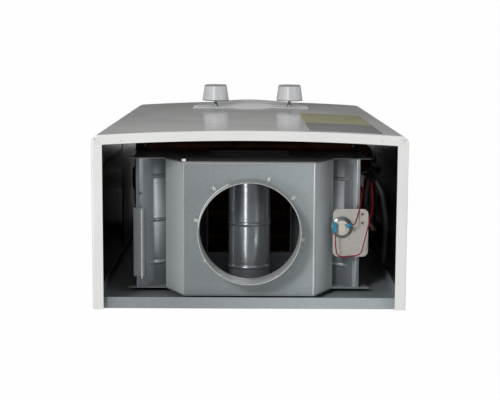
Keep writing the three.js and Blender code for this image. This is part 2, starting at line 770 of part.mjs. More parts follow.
// Baffle: half a cylinder on two straight skirts, across the throat below the flue
function draughtBaffle() {
  const crown = hoodTopZ - baffleDrop;
  const centre = crown - baffleRadius;
  const arch = (radius) => [[radius, centre - baffleSkirt],
    ...Array.from({ length: curveSteps + 1 }, (_, i) => {
      const turn = Math.PI * (i / curveSteps);
      return [radius * Math.cos(turn), centre + radius * Math.sin(turn)];
    }), [-radius, centre - baffleSkirt]];
  const y = [hoodFrontY + seatGap, hoodBackY - seatGap];
  const line = arch(baffleRadius);
  const beads = beadPlaces.map((place) => extrusion('y', folded(line, half(sheet), -beadHeight),
    about(place, beadWidth)));
  return join(extrusion('y', folded(line, 0, sheet), y), ...beads);
}

function thermostatBracket() {
  const x = [-wingRimHalf - thermostatPlateOut, thermostatPlateIn - hoodSkirtHalf];
  const y = [flueY - thermostatPlateAhead, flueY + thermostatPlateBehind];
  const z = [thermostatPlateTop - sheet, thermostatPlateTop];
  const through = [z[0] - overrun, z[1] + overrun];
  const holes = [0, 1].map((step) => rod('z', thermostatHoleRadius, through,
    [x[0] + thermostatHoleInset, y[0] + thermostatHoleEdge + step * thermostatHolePitch], leadSides));
  const capHole = rod('z', thermostatCapRadius + seatGap, through, [thermostatX, thermostatY]);
  const legX = -wingRimHalf - seatGap - sheet;
  const leg = block([legX - sheet, legX], [y[1] - thermostatLegWidth, y[1]],
    [hoodSkirtZ - thermostatLegWidth, thermostatPlateTop - half(sheet)]);
  const plate = extrusion('z', roundedRectangle(x, y, thermostatPlateCorner), z);
  return join(cut(plate, ...holes, capHole), leg);
}

// Disc thermostat: its sensing cap hangs through the bracket, its body stands on top
function flueThermostat() {
  const seat = thermostatPlateTop + seatGap;
  const flange = seat + thermostatFlangeWall;
  const body = flange + thermostatBodyHeight;
  const cap = thermostatPlateTop - sheet - thermostatCapHeight;
  return turning('z', [[0, cap], [thermostatCapRadius, cap], [thermostatCapRadius, seat],
    [thermostatFlangeRadius, seat], [thermostatFlangeRadius, flange], [thermostatBodyRadius, flange],
    [thermostatBodyRadius, body], [0, body]], [thermostatX, thermostatY]);
}

function hoodBracket() {
  const y = [flueY - hoodBracketAhead, flueY + hoodBracketBehind];
  const outer = wingRimHalf + hoodBracketOut;
  const line = [[wingRimHalf - hoodBracketIn, hoodSkirtZ + seatGap * 2], [outer, hoodSkirtZ + seatGap * 2],
    [outer, hoodSkirtZ - hoodBracketDrop]];
  return extrusion('y', folded(line, 0, sheet), y);
}

// Heat exchanger: a stack of copper fins on straight tubes, between two end plates
function finBlock() {
  const pitch = (finHalfWidth * 2 - finWall) / (finCount - 1);
  const y = [finInset - chamberFront, -chamberBack - finInset];
  const fins = Array.from({ length: finCount }, (_, i) => {
    const x = -finHalfWidth + i * pitch;
    return block([x, x + finWall], y, [finFoot, exchangerTop]);
  });
  const tubes = Array.from({ length: tubeRows }, (_, row) => rod('x', tubeRadius,
    [-stubX, stubX], [tubeY(row), tubeZ], tubeSides));
  return join(...fins, ...tubes);
}

// U-shaped return bend between two neighbouring tubes at one side
function returnBend(side, row) {
  const x = side * (stubX + seatGap);
  const reach = side * (stubX + seatGap + half(tubePitch));
  const [first, second] = [tubeY(row), tubeY(row + 1)];
  const points = [[x, first, tubeZ], [reach, first, tubeZ], [reach, second, tubeZ], [x, second, tubeZ]];
  return pipe(points, tubeRadius, half(tubePitch) - weld);
}

// Open-ended sheet box with rounded upright edges and a rim turned inwards at one end
function rimmedBox(x, y, z, corner, wall, rimDepth, innerZ) {
  const walls = (inset, radius, ends) => extrusion('z',
    roundedRectangle([x[0] + inset, x[1] - inset], [y[0] + inset, y[1] - inset], radius), ends);
  return cut(walls(0, corner, z), walls(wall, corner - wall, innerZ),
    walls(rimDepth, half(corner), [z[0] - overrun, z[1] + overrun]));
}

function combustionChamber() {
  return rimmedBox([-chamberHalf, chamberHalf], [-chamberFront, -chamberBack], [chamberFoot, chamberTop],
    chamberCorner, chamberWall, chamberRim, [chamberFoot - overrun, chamberTop - chamberWall]);
}

// Coil: climbs round the chamber, then crosses the front and turns into the first tube
function coilPipe() {
  const side = chamberHalf + seatGap + coilRadius;
  const front = -chamberFront - seatGap - coilRadius;
  const back = -chamberBack + seatGap + coilRadius;
  const start = chamberFoot + chamberHeight * coilFootShare;
  const rise = chamberHeight * coilRiseShare;
  const quarter = rise / 4;
  const seat = [waterValveOuter + seatGap, valveY, valveZ];
  const points = [seat, [side, valveY, valveZ], [side, valveY, start]];
  for (let turn = 0; turn < coilTurns; turn += 1) {
    const foot = start + turn * rise + quarter;
    points.push([side, front, foot], [-side, front, foot + quarter],
      [-side, back, foot + quarter * 2], [side, back, foot + quarter * 3]);
  }
  const top = exchangerTop - coilTopDrop;
  const outside = stubX + half(tubePitch) + tubeRadius;
  points.push([side, back, top], [side, front, top], [-outside, front, top],
    [-outside, tubeY(0), tubeZ], [-stubX - seatGap, tubeY(0), tubeZ]);
  return pipe(points, coilRadius, chamberCorner + seatGap + coilRadius);
}

// Hot pipe: from the last tube down beside the chamber to the hot stub
function hotPipe() {
  const x = -chamberHalf - hotPipeOut;
  const y = tubeY(tubeRows - 1);
  const top = caseFoot + hotStubHeight;
  const low = top + pipeBend;
  const run = pipe([[-stubX - seatGap, y, tubeZ], [x, y, tubeZ], [x, y, low],
    [hotStubX, valveY, low], [hotStubX, valveY, top - overrun]], hotPipeRadius, pipeBend);
  return join(run, stub(hotStubX, hotStubRadius, top));
}

// Straight pipe end with an open mouth below the case
function stub(x, radius, top) {
  return cut(rod('z', radius, [pipeFoot, top], [x, valveY]),
    rod('z', pipeBore, [pipeFoot - overrun, pipeFoot + pipeBoreDepth], [x, valveY]));
}

// Hexagon nut that clamps a stub under the shelf
function clampNut(x, radius) {
  const z = [shelfZ - seatGap - nutHeight, shelfZ - seatGap];
  const hexagon = rod('z', half(nutAcrossCorners), z, [x, valveY], hexSides);
  return cut(hexagon, rod('z', radius + seatGap, [z[0] - overrun, z[1] + overrun], [x, valveY]));
}

const barX = (bar) => (bar - half(burnerBars - 1)) * barPitch;

// Burner frame: a sheet box with a ledge for the bars, a hole in front of each bar and two rear legs
function burnerFrame() {
  const x = [-burnerHalf, burnerHalf];
  const y = [-burnerFront, -burnerBack];
  const box = rimmedBox(x, y, [burnerFoot, burnerTop], burnerCorner, burnerWall, burnerLedge,
    [burnerFoot + burnerWall, burnerTop + overrun]);
  const holes = Array.from({ length: burnerBars }, (_, bar) => rod('y', injectorHoleRadius,
    [y[0] - overrun, y[0] + overrun], [barX(bar), railZ], pipeSides));
  const electrodes = [-1, 1].map((side) => rod('y', electrodeRadius + seatGap,
    [y[0] - overrun, y[0] + overrun], [half(side * electrodeSpan), electrodeZ], pipeSides));
  const wallY = -plateWall - seatGap;
  const legZ = [burnerFoot + burnerLegTop, burnerFoot + burnerLegTop + burnerWall * 2];
  const legX = burnerHalf - burnerLegSetIn;
  const legs = [-1, 1].map((side) => block(about(side * legX, burnerLegWidth),
    [y[1] - weld, wallY], legZ));
  const pads = [-1, 1].map((side) => block(about(side * legX, burnerLegWidth),
    [wallY - burnerWall * 2, wallY], [burnerFoot, legZ[1] - weld]));
  return join(cut(box, ...holes, ...electrodes), ...legs, ...pads);
}

// Burner bar: a wide mixing channel that narrows to the row of flame ports on top
function burnerBar(bar) {
  const foot = burnerFoot + burnerWall + seatGap;
  const right = [[half(barWidth), foot], [half(barWidth), foot + barHeight * barShoulderShare],
    [half(barNeck), foot + barHeight * barNeckShare], [half(barNeck), foot + barHeight]];
  const outline = [...right, ...right.map(([x, z]) => [-x, z]).reverse()]
    .map(([x, z]) => new THREE.Vector2(barX(bar) + x, z));
  const y = [-burnerFront + burnerWall + seatGap, -burnerBack - burnerWall - seatGap];
  const mouth = rod('y', injectorHoleRadius, [y[0] - overrun, y[0] + barWidth],
    [barX(bar), railZ], pipeSides);
  return cut(extrusion('y', new THREE.Shape(outline), y), mouth);
}

// Gas rail with its injectors, two ears against the burner frame and the feed from the gas valve
function gasRail() {
  const y = about(railY, railSize);
  const z = about(railZ, railSize);
  const rail = block([-railHalf, railHalf], y, z);
  const injectors = Array.from({ length: burnerBars }, (_, bar) => rod('y', injectorRadius,
    [y[1] - weld, -burnerFront - injectorSetBack], [barX(bar), railZ], pipeSides));
  const ears = [-1, 1].map((side) => block(about(side * (railHalf - half(railSize)), railSize),
    [y[1] - weld, -burnerFront - seatGap], [z[0], z[0] + burnerWall * 2]));
  const feedX = half(gasValveOuter + gasPipeX) - seatGap;
  const feed = pipe([[feedX, valveFront - seatGap, valveZ], [feedX, railY, valveZ],
    [feedX, railY, z[0] + weld]], feedRadius, pipeBend);
  return join(rail, feed, ...injectors, ...ears);
}

// Blind bore for a spindle in the front of a valve's boss
function spindleBore(x) {
  const boss = valveFront - bossLength;
  return rod('y', spindleRadius + seatGap, [boss - overrun, boss + spindleSeat + seatGap], [x, knobZ]);
}

function gasValve() {
  const boss = valveFront - bossLength;
  const x = [gasValveOuter, gasValveInner];
  const body = join(block(x, [valveFront, valveBack], [valveFoot, valveTop]),
    rod('y', bossRadius, [boss, valveFront + weld], [knobX(-1), knobZ]),
    rod('z', inletBossRadius, [valveFoot - inletBossHeight, valveFoot + weld], [gasPipeX, valveY]));
  return cut(body,
    spindleBore(knobX(-1)),
    rod('x', pushrodBore, [x[1] - pushrodIntoGas - pushrodTravel - seatGap, x[1] + overrun],
      [valveY, valveZ], pipeSides));
}

function gasSolenoid() {
  const x = gasValveOuter - seatGap;
  const tip = x - solenoidLength;
  const neck = solenoidNeckRadius;
  return turning('x', [[0, tip], [neck, tip], [neck, tip + solenoidNut],
    [solenoidRadius, tip + solenoidNut], [solenoidRadius, x], [0, x]], [valveY, valveZ]);
}

function waterValve() {
  const boss = valveFront - bossLength;
  const x = [diaphragmSeam + diaphragmFlange, waterValveOuter];
  const body = join(rod('x', diaphragmRadius, [diaphragmSeam, x[0] + weld], [valveY, valveZ]),
    block(x, [valveFront, valveBack], [valveFoot, valveTop]),
    rod('y', bossRadius, [boss, valveFront + weld], [knobX(1), knobZ]),
    rod('z', inletBossRadius, [valveFoot - inletBossHeight, valveFoot + weld], [coldPipeX, valveY]));
  return cut(body, spindleBore(knobX(1)));
}

// Cover of the water valve's diaphragm, with its ring of bolts and a boss that guides the pushrod
function diaphragmCover() {
  const face = diaphragmCoverFace;
  const bolts = Array.from({ length: diaphragmBolts }, (_, i) => {
    const turn = Math.PI * 2 * (i / diaphragmBolts);
    return rod('x', boltRadius, [face - boltHeight, face + weld],
      [valveY + boltCircle * Math.cos(turn), valveZ + boltCircle * Math.sin(turn)], hexSides);
  });
  return cut(join(
    rod('x', diaphragmRadius, [face, diaphragmSeam - seatGap], [valveY, valveZ]),
    rod('x', diaphragmBossRadius, [face - diaphragmBossLength, face + weld], [valveY, valveZ]), ...bolts),
  rod('x', pushrodBore, [face - diaphragmBossLength - overrun, face + pushrodIntoCover],
    [valveY, valveZ], pipeSides));
}

function pushrod() {
  const x = [gasValveInner - pushrodIntoGas, diaphragmCoverFace + pushrodIntoCover - seatGap];
  return join(rod('x', pushrodRadius, x, [valveY, valveZ], pipeSides),
    rod('x', pushrodCollarRadius, [pushrodCollarX, pushrodCollarX + pushrodCollarWidth], [valveY, valveZ]));
}

const leverX = pushrodCollarX - leverGap - half(leverWall);
const switchFoot = valveZ + switchAboveAxis;
const leverPinZ = switchFoot - seatGap - leverPinRadius;

// Micro switch: stands over the pushrod on the diaphragm cover, with two ears for its lever's pin
function microSwitch() {
  const y = about(valveY, switchWidth);
  const height = [switchFoot, switchFoot + switchHeight];
  const body = block([switchOuter, diaphragmCoverFace - seatGap], y, height);
  const ears = [-1, 1].map((side) => block(about(leverX, leverEarDepth),
    about(valveY + side * half(switchWidth - leverEar), leverEar),
    [leverPinZ - leverPinRadius, switchFoot + weld]));
  return join(body, ...ears);
}

function switchLever() {
  return join(
    rod('y', leverPinRadius, about(valveY, leverWidth), [leverX, leverPinZ], pipeSides),
    block(about(leverX, leverWall), about(valveY, leverWidth - seatGap * 2),
      [leverPinZ - leverLength, leverPinZ]));
}

// Drain and relief plug under the water valve
function drainPlug() {
  const top = valveFoot - seatGap;
  const cap = top - drainLength;
  return turning('z', [[0, top], [drainRadius, top], [drainRadius, cap + drainCapHeight],
    [drainCapRadius, cap + drainCapHeight], [drainCapRadius, cap], [0, cap]],
  [drainX, valveY - drainAhead], pipeSides);
}

// A stub that ends under a valve's inlet boss
function inletPipe(x, radius) {
  return stub(x, radius, valveFoot - inletBossHeight - seatGap);
}

function igniterBox() {
  const body = roundedRectangle([-igniterHalf, igniterHalf], [igniterFoot, igniterTop], igniterCorner);
  const y = [igniterFront, -plateWall - seatGap];
  const foot = roundedRectangle([-igniterHalf - igniterCorner * 2, igniterHalf + igniterCorner * 2],
    about(half(igniterFoot + igniterTop), igniterHalf), igniterCorner);
  return join(extrusion('y', body, y), extrusion('y', foot, [y[1] - plateWall * 2, y[1]]));
}

// Electrode: a metal wire tip in a ceramic with a collar against the burner frame
function electrode(side) {
  const collar = -burnerFront - seatGap - electrodeCollarWidth;
  const tip = electrodeBack + electrodeTip;
  return turning('y', [[0, electrodeFront], [electrodeRadius, electrodeFront], [electrodeRadius, collar],
    [electrodeCollarRadius, collar], [electrodeCollarRadius, collar + electrodeCollarWidth],
    [electrodeRadius, collar + electrodeCollarWidth], [electrodeRadius, electrodeBack],
    [electrodeTipRadius, electrodeBack], [electrodeTipRadius, tip], [0, tip]],
  [half(side * electrodeSpan), electrodeZ], pipeSides);
}

// Lead from an electrode, down inside the front and back to the igniter
function electrodeLead(side) {
  const x = half(side * electrodeSpan);
  const frontY = leadFrontGap - caseDepth;
  const backZ = half(igniterFoot + igniterTop);
  return pipe([[x, electrodeFront - seatGap, electrodeZ], [x, frontY, electrodeZ],
    [x, frontY, igniterTop - leadDrop], [x, valveFront, backZ], [x, igniterFront - seatGap, backZ]],
  leadRadius, sleeveRadius, leadSides);
}

// Corner points of the wiring, chosen by hand: two thermostat leads, the black sleeve that takes them
// down, and the grey sheathed cable along the side
const crimpZ = thermostatPlateTop + seatGap + thermostatFlangeWall + thermostatBodyHeight
  + crimpAboveBody + crimpRadius;
const crimpStarts = [[thermostatX - crimpReach, thermostatY - crimpSide, crimpZ],
  [thermostatX + crimpAcross, thermostatY + crimpReach, crimpZ]];
const sleeveX = sleeveSideGap - innerHalf;
const sleeveY = sleeveFrontGap - caseDepth;
const sleeveTopX = sleeveX + sleeveTopIn;
const besideCover = (points) => points.map(([inwards, y, z]) => [sleeveX + inwards, y, z]);
const leadRoutes = [
  [[thermostatX - crimpReach - crimpLength, thermostatY - crimpSide * 2, crimpZ],
    ...besideCover([[27, -112, 201], [22, -129, 186], [14.5, -133.5, 165], [13.6, -131.6, 150.6]])],
  [[thermostatX + crimpReach, thermostatY + crimpReach + crimpLength, crimpZ],
    ...besideCover([[55, -48, crimpZ], [29, -50, crimpZ], [20, -84, 212], [13, -100, 190], [10.6, -116, 175],
      [10.6, -130.4, 164], [10.6, -131, 150.6]])],
];
const sleeveFootZ = igniterFoot + sleeveAboveFoot;
const sleeveRoute = [[sleeveTopX, sleeveY, 150], [sleeveTopX, sleeveY, 137], [sleeveX, sleeveY, 106],
  [sleeveX, sleeveY, valveFoot - sleeveBelowValve],
  [-87, sleeveY, sleeveFootZ], [-87, -26, sleeveFootZ], [-igniterHalf - seatGap, -26, sleeveFootZ]];
const cableX = cableSideGap - innerHalf;
const cableFootZ = igniterFoot + cableAboveFoot;
const cableRoute = [...besideCover([[6.4, -124, 146], [-1, -108, 150]]),
  [cableX, -76, 148], [cableX, -26, 130], [cableX, -22, valveFoot - cableBelowValve],
  [-100, -18, cableFootZ], [-igniterHalf - seatGap, -18, cableFootZ]];

// One thermostat lead with the crimped insulator at its start
function thermostatLead(i) {
  const route = leadRoutes[i];
  return join(pipe(route, leadRadius, sleeveRadius, leadSides),
    pipe([crimpStarts[i], route[0]], crimpRadius, sleeveRadius, pipeSides));
}

function batteryBox() {
  const x = about(batteryBoxX, batteryOuterHalf * 2);
  const y = [batteryBoxFront, batteryBoxBack];
  const inner = block(about(batteryBoxX, batteryInnerHalf * 2), [y[0] + batteryWall, y[1] - batteryWall],
    [shelfZ - overrun, batteryRoof]);
  return cut(block(x, y, [shelfZ, batteryRoof + batteryWall]), inner);
}

function battery(side) {
  const top = batteryFoot + batteryHeight;
  return turning('z', [[0, batteryFoot], [half(batteryDiameter), batteryFoot], [half(batteryDiameter), top],
    [batteryNub, top], [batteryNub, top + batteryNubHeight], [0, top + batteryNubHeight]],
  [batteryX(side), batteryY]);
}

// Battery lid: hinged along its back edge, with a finger tongue at the front
function batteryLid() {
  const z = [shelfZ - seatGap - lidWall, shelfZ - seatGap];
  const pinZ = z[1] - lidPinRadius;
  return join(
    block(about(batteryBoxX, batteryOuterHalf * 2), [batteryBoxFront, batteryBoxBack], z),
    rod('x', lidPinRadius, about(batteryBoxX, batteryOuterHalf * 2), [batteryBoxBack, pinZ], pipeSides),
    block(about(batteryBoxX, lidTongue * 2), [batteryBoxFront - lidTongue, batteryBoxFront + weld], z));
}

add('front_cover', frontCover(), 'enamel');
add('back_plate', backPlate(), 'galvanised');
add('bottom_shelf', bottomShelf(), 'galvanised');
add('control_bezel', controlBezel(), 'silver');
add('gas_knob', knob(knobX(-1)), 'greyPlastic');
add('water_knob', knob(knobX(1)), 'greyPlastic');
add('gas_spindle', spindle(knobX(-1)), 'chrome');
add('water_spindle', spindle(knobX(1)), 'chrome');
add('flue_collar', flueCollar(), 'galvanised');
add('hood_shell', hoodShell(), 'galvanised');
add('hood_front_sheet', hoodFrontSheet(), 'galvanised');
add('hood_back_sheet', hoodBackSheet(), 'galvanised');
add('hood_base', hoodBase(), 'galvanised');
add('left_wing', wing(-1), 'galvanised');
add('right_wing', wing(1), 'galvanised');
add('draught_baffle', draughtBaffle(), 'galvanised');
add('thermostat_bracket', thermostatBracket(), 'galvanised');
add('flue_thermostat', flueThermostat(), 'whiteCeramic');
add('hood_bracket', hoodBracket(), 'galvanised');
add('fin_block', finBlock(), 'copper');
add('return_bend_1', returnBend(1, 0), 'copper');
add('return_bend_2', returnBend(-1, 1), 'copper');
add('return_bend_3', returnBend(1, 2), 'copper');
add('combustion_chamber', combustionChamber(), 'copper');
add('coil_pipe', coilPipe(), 'copper');
add('hot_pipe', hotPipe(), 'copper');
add('burner_frame', burnerFrame(), 'stainless');
for (let bar = 0; bar < burnerBars; bar += 1) {
  add(`burner_bar_${bar + 1}`, burnerBar(bar), 'stainless');
}
add('gas_rail', gasRail(), 'brass');
add('gas_valve', gasValve(), 'brass');
add('gas_solenoid', gasSolenoid(), 'blackPlastic');
add('water_valve', waterValve(), 'brass');
add('diaphragm_cover', diaphragmCover(), 'brass');
add('pushrod', pushrod(), 'stainless');
add('micro_switch', microSwitch(), 'blackPlastic');
add('switch_lever', switchLever(), 'stainless');
add('drain_plug', drainPlug(), 'blackPlastic');
add('gas_inlet_pipe', inletPipe(gasPipeX, gasPipeRadius), 'brass');
add('cold_inlet_pipe', inletPipe(coldPipeX, coldPipeRadius), 'brass');
add('gas_nut', clampNut(gasPipeX, gasPipeRadius), 'brass');
add('cold_nut', clampNut(coldPipeX, coldPipeRadius), 'brass');
add('hot_nut', clampNut(hotStubX, hotStubRadius), 'brass');
add('igniter_box', igniterBox(), 'blackPlastic');
add('ignition_electrode', electrode(-1), 'whiteCeramic');
add('flame_sensor', electrode(1), 'whiteCeramic');
add('ignition_lead', electrodeLead(-1), 'greySheath');
add('sensor_lead', electrodeLead(1), 'redWire');
add('thermostat_lead_1', thermostatLead(0), 'redWire');
add('thermostat_lead_2', thermostatLead(1), 'redWire');
add('harness_sleeve', pipe(sleeveRoute, sleeveRadius, pipeBend), 'blackSleeve');
add('side_cable', pipe(cableRoute, cableRadius, pipeBend, leadSides), 'greySheath');
add('battery_box', batteryBox(), 'greyPlastic');
add('battery_1', battery(-1), 'batteryJacket');
add('battery_2', battery(1), 'batteryJacket');
add('battery_lid', batteryLid(), 'greyPlastic');

export default heater;
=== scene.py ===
"""Wall-hung gas water heater with an open flue, seen from its top end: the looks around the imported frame.

Sizes are in millimetres up to where a mesh is made. +Z is up, the front faces -Y, the wall is at y 0.
"""
import math

import bmesh
import bpy
import numpy as np
from mathutils import Matrix


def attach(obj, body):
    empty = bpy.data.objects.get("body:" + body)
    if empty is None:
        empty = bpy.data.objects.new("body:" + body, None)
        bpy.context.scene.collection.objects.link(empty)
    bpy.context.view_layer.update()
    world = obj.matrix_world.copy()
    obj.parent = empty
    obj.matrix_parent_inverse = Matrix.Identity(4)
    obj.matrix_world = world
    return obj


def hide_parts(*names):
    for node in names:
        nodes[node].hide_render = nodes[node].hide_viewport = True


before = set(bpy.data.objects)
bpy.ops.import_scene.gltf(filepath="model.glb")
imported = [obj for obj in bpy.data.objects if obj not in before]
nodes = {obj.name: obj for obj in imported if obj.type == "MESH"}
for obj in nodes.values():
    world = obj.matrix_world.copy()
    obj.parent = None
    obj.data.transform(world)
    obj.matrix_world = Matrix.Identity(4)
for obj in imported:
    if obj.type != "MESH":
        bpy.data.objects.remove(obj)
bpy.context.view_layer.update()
MM = 0.001
WELD, SLIVER, SHARP_DEGREES, FLAT_HOLD = 2e-6, 1e-6, 32, 0.4

# Camera, as fitted to the photograph: place, tilt towards the wall, turn and roll
CAMERA_PLACE = np.array([3.459, -290.34, 1544.216])
CAMERA_TILT, CAMERA_TURN, CAMERA_ROLL = 0.135001, 0.0029545, 0.0045152
CAMERA_LENS, SENSOR_WIDTH = 88.514, 36.0

# Case
CASE_HALF_WIDTH, CASE_TOP, CASE_DEPTH, FRONT_BOW = 165.0, 275.0, 190.0, 5.5
CASE_CORNER, CASE_WALL, FRONT_RIM, SIDE_RIM, RIM_CORNER, EDGE_FOLD = 8.0, 1.2, 10.2, 11.5, 2.0, 1.6
COVER_WALL_GAP = 1.0
BOW_RADIUS = (CASE_HALF_WIDTH ** 2 + FRONT_BOW ** 2) / (FRONT_BOW * 2)
BOW_CENTRE_Y = BOW_RADIUS - CASE_DEPTH
KNOB_PLACES, KNOB_Z = {"gas": -55.3, "water": 46.4}, -155.0
KNOB_BASE, KNOB_FACE, KNOB_DEPTH = -197.98, -219.98, 12.0
BEZEL_MIDDLE, BEZEL_HALF, BEZEL_END, BEZEL_FLAT, BEZEL_OVAL = -1.8, 78.5, 6.0, 28.5, (35.5, 67.0)
RELIEF_Z, RELIEF_HALF, RELIEF_RISE = -244.0, (92.0, 36.0), 4.6
# Inside the cover: painted light from the open bottom below the first height, a band of painted shade for a
# gap up to the second, and a painted reflection in the front corner beyond the given x and y
LIT_LINING_TOP, GAP_SHADE_TOP = -52.0, -27.0
REFLECTION_X, REFLECTION_Y, FRONT_FROM_Y = 100.0, -146.0, -150.0
LABEL_X, LABEL_Z, SCALE_RADIUS = (-140, -63), (-27, 140, 255), 21.5
# Holes: radius, half-width of the square in the grid that becomes the circle, and reach of the move
SPINDLE_HOLE, BEZEL_HOLE = (8.0, 6.0, 14.0), (4.6, 3.4, 12.0)

# Draught hood
FLUE_Y, FLUE_RADIUS, FLUE_WALL = -80.0, 55.0, 1.0
HOOD_TOP, HOOD_SKIRT_Z, HOOD_FOOT, HOOD_WALL = 231.0, 190.0, 93.6, 1.0
COLLAR_RIVETS, RIVET_RING = (-9.4, -49.2, -110.8, -144.1, 169.0, 126.0, 81.0, 36.0), 57.8
HOOD_TOP_HALF, HOOD_SKIRT_HALF, HOOD_FRONT, HOOD_BACK, HOOD_FRONT_EDGE = 71.5, 93.0, -152, -8, -151.2
THROAT_HALF, WING_PULL, BEADS, BEAD_HALF = 50.0, (62.16, 163.0), (-129.0, -80.0, -31.0), 2.5
FRONT_SHEET_Y, BACK_SHEET_Y, SHOULDER_FOOT, SHOULDER_HALF = -153.3, -7.7, 165.0, (130.0, 135.0)
PRESSED_HALF, PRESSED_MIDDLE_Z, PRESSED_CORNER, PRESSED_EASE, PRESSED_RISE = (44, 33), 151.6, 8, 2.4, 1.0
COLLAR_LIP_Z, COLLAR_SEAM, FRONT_BEAD_Z, FOLD_GLINT_X = 263.8, (55.3, 246), 130.6, (-70.1, -69.2)
BAFFLE_RADIUS, BAFFLE_CENTRE_Z, BAFFLE_SKIRT = 22.5, 174.5, 26.0

# Exchanger, burner and stubs
TUBE_RADIUS, TUBE_Z, TUBE_PITCH, TUBE_FIRST_Y = 7.0, 67, 28, -130
TUBE_HALF, BEND_NEAR, BEND_OUT = 120.0, 120.3, 134.3
FIN_HALF, FIN_PITCH, FIN_SPAN, END_PLATE = 0.17, 2.1, (-116.5, 116.6), (116.8, 118.0)
FIN_FRONT, FIN_BACK, FIN_FOOT, FIN_TOP, END_PLATE_TOP = -148.8, -27.2, 42.0, 91.6, 92.0
PIPE_RADIUS, BORE_DEPTH, COIL_SIDE, COIL_TOP_Z, HOT_PIPE_X, HOT_PIPE_Y = 6.5, 14.0, 130.8, 84, -153.8, -46
BURNER_BARS, BAR_HALF, BURNER_HALF = (np.arange(6) - 2.5) * 37.0, 9.3, 118.6
BURNER_Y, AIR_PLATE_Z, PORT_Z = (-146.6, -29.4), (-125.3, -124.7), (-75, -74.52)
PORT_SPAN, PORT_PITCH, PORT_HALF = (-138, -37), 4.2, (5.5, 0.5)
SCREW_RADIUS, SCREW_HEAD, SCREW_Y, SCREW_Z = 3.4, 0.9, -12, 205
STUBS, STUB_Y, STUB_RADIUS = {"hot": -118, "gas": -61, "cold": 50}, -98, 10.5
THREAD_SPAN, THREAD_STEP, THREAD_RADII = (-299.2, -280), 0.45, (10.3, 10.72)


# Mesh tools
def linked(name, data):
    """A new object at the origin, linked to the scene."""
    made = bpy.data.objects.new(name, data)
    bpy.context.scene.collection.objects.link(made)
    return made


def place(name, points, faces, materials, body="heater_body", stands_for=(), slot="galvanised", which=None):
    """Makes a closed mesh of the points in millimetres, welds doubles, shades it smooth up to SHARP_DEGREES,
    and lets it ride on a body."""
    mesh = bpy.data.meshes.new(name)
    mesh.from_pydata((np.asarray(points) * MM).tolist(), [], np.asarray(faces).tolist())
    for material in materials:
        mesh.materials.append(material)
    if which is not None:
        mesh.polygons.foreach_set("material_index", np.asarray(which, np.int32))
    work = bmesh.new()
    work.from_mesh(mesh)
    bmesh.ops.remove_doubles(work, verts=work.verts, dist=WELD)
    bmesh.ops.dissolve_degenerate(work, edges=work.edges, dist=SLIVER)
    work.to_mesh(mesh)
    work.free()
    mesh.polygons.foreach_set("use_smooth", np.ones(len(mesh.polygons), bool))
    mesh.set_sharp_from_angle(angle=math.radians(SHARP_DEGREES))
    piece = linked(name, mesh)
    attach(piece, body)
    if stands_for:
        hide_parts(*stands_for)
    return piece


def grid(x, y, z):
    """Points of a surface from its three coordinates, which broadcast to one shape."""
    return np.stack(np.broadcast_arrays(x, y, z), -1).astype(float)


def quads(rows, columns, wrap_columns=False):
    """Four-sided faces between a grid's neighbouring stations, closed round its columns if it wraps."""
    r, c = np.meshgrid(np.arange(rows - 1), np.arange(columns - (not wrap_columns)), indexing="ij")
    low, high, c2 = r * columns, (r + 1) * columns, (c + 1) % columns
    return np.stack([low + c, high + c, high + c2, low + c2], -1).reshape(-1, 4)


def thicken(points, faces, depth):
    """Gives a sheet its thickness: a second layer lies depth behind each point along the mean of its faces'
    normals, and every edge used by one face only gets a wall. Returns points, faces and 0, 1 or 2 for
    front, back and wall."""
    a, b, c, d = (points[faces[:, i]] for i in range(4))
    normal = np.cross(c - a, d - b)
    at_point = np.zeros_like(points)
    np.add.at(at_point, faces.ravel(), np.repeat(normal, 4, axis=0))
    at_point /= np.linalg.norm(at_point, axis=1, keepdims=True) + 1e-12
    count = len(points)
    edges = np.stack([faces, np.roll(faces, -1, axis=1)], -1).reshape(-1, 2)
    forward, backward = edges[:, 0] * count + edges[:, 1], edges[:, 1] * count + edges[:, 0]
    rim = edges[~np.isin(forward, backward)]
    wall = np.stack([rim[:, 1], rim[:, 0], rim[:, 0] + count, rim[:, 1] + count], -1)
    which = np.repeat([0, 1, 2], [len(faces), len(faces), len(wall)])
    return (np.vstack([points, points - at_point * depth]),
            np.vstack([faces, faces[:, ::-1] + count, wall]), which)


def sheet(name, points, faces, depth, materials, finish=None, **kept):
    """A surface's points and faces made a sheet depth thick and placed. Finish works out which material each
    face has from x, y and z of its middle and its layer: 0, 1 or 2 for front, back and wall."""
    all_points, all_faces, layer = thicken(points.reshape(-1, 3), faces, depth)
    which = None if finish is None else finish(*all_points[all_faces].mean(axis=1).T, layer)
    return place(name, all_points, all_faces, materials, which=which, **kept)


def open_hole(points, across, along, centre, radius, block, reach):
    """Moves a flat grid's points so that the square of half-width block about centre becomes a circle, and
    fades the move out at reach. Returns which points lie inside the square."""
    da, db = points[..., across] - centre[0], points[..., along] - centre[1]
    far = np.maximum(np.abs(da), np.abs(db))
    length = np.hypot(da, db) + 1e-9
    share = np.clip((reach - far) / (reach - block), 0, 1) * (far < reach)
    ring = radius * np.maximum(far, 1e-9) / block
    points[..., across] += share * (da / length * ring - da)
    points[..., along] += share * (db / length * ring - db)
    return far < block - 1e-6


def keep_outside(faces, inside):
    """The faces that have no corner among the points inside a hole."""
    return faces[~inside.ravel()[faces].any(axis=1)]


def stations(*spans):
    """Sorted places along one direction from spans of (start, end, spacing), each met once."""
    parts = [np.linspace(lo, hi, max(2, int(round((hi - lo) / step)) + 1)) for lo, hi, step in spans]
    return np.unique(np.round(np.concatenate(parts), 4))


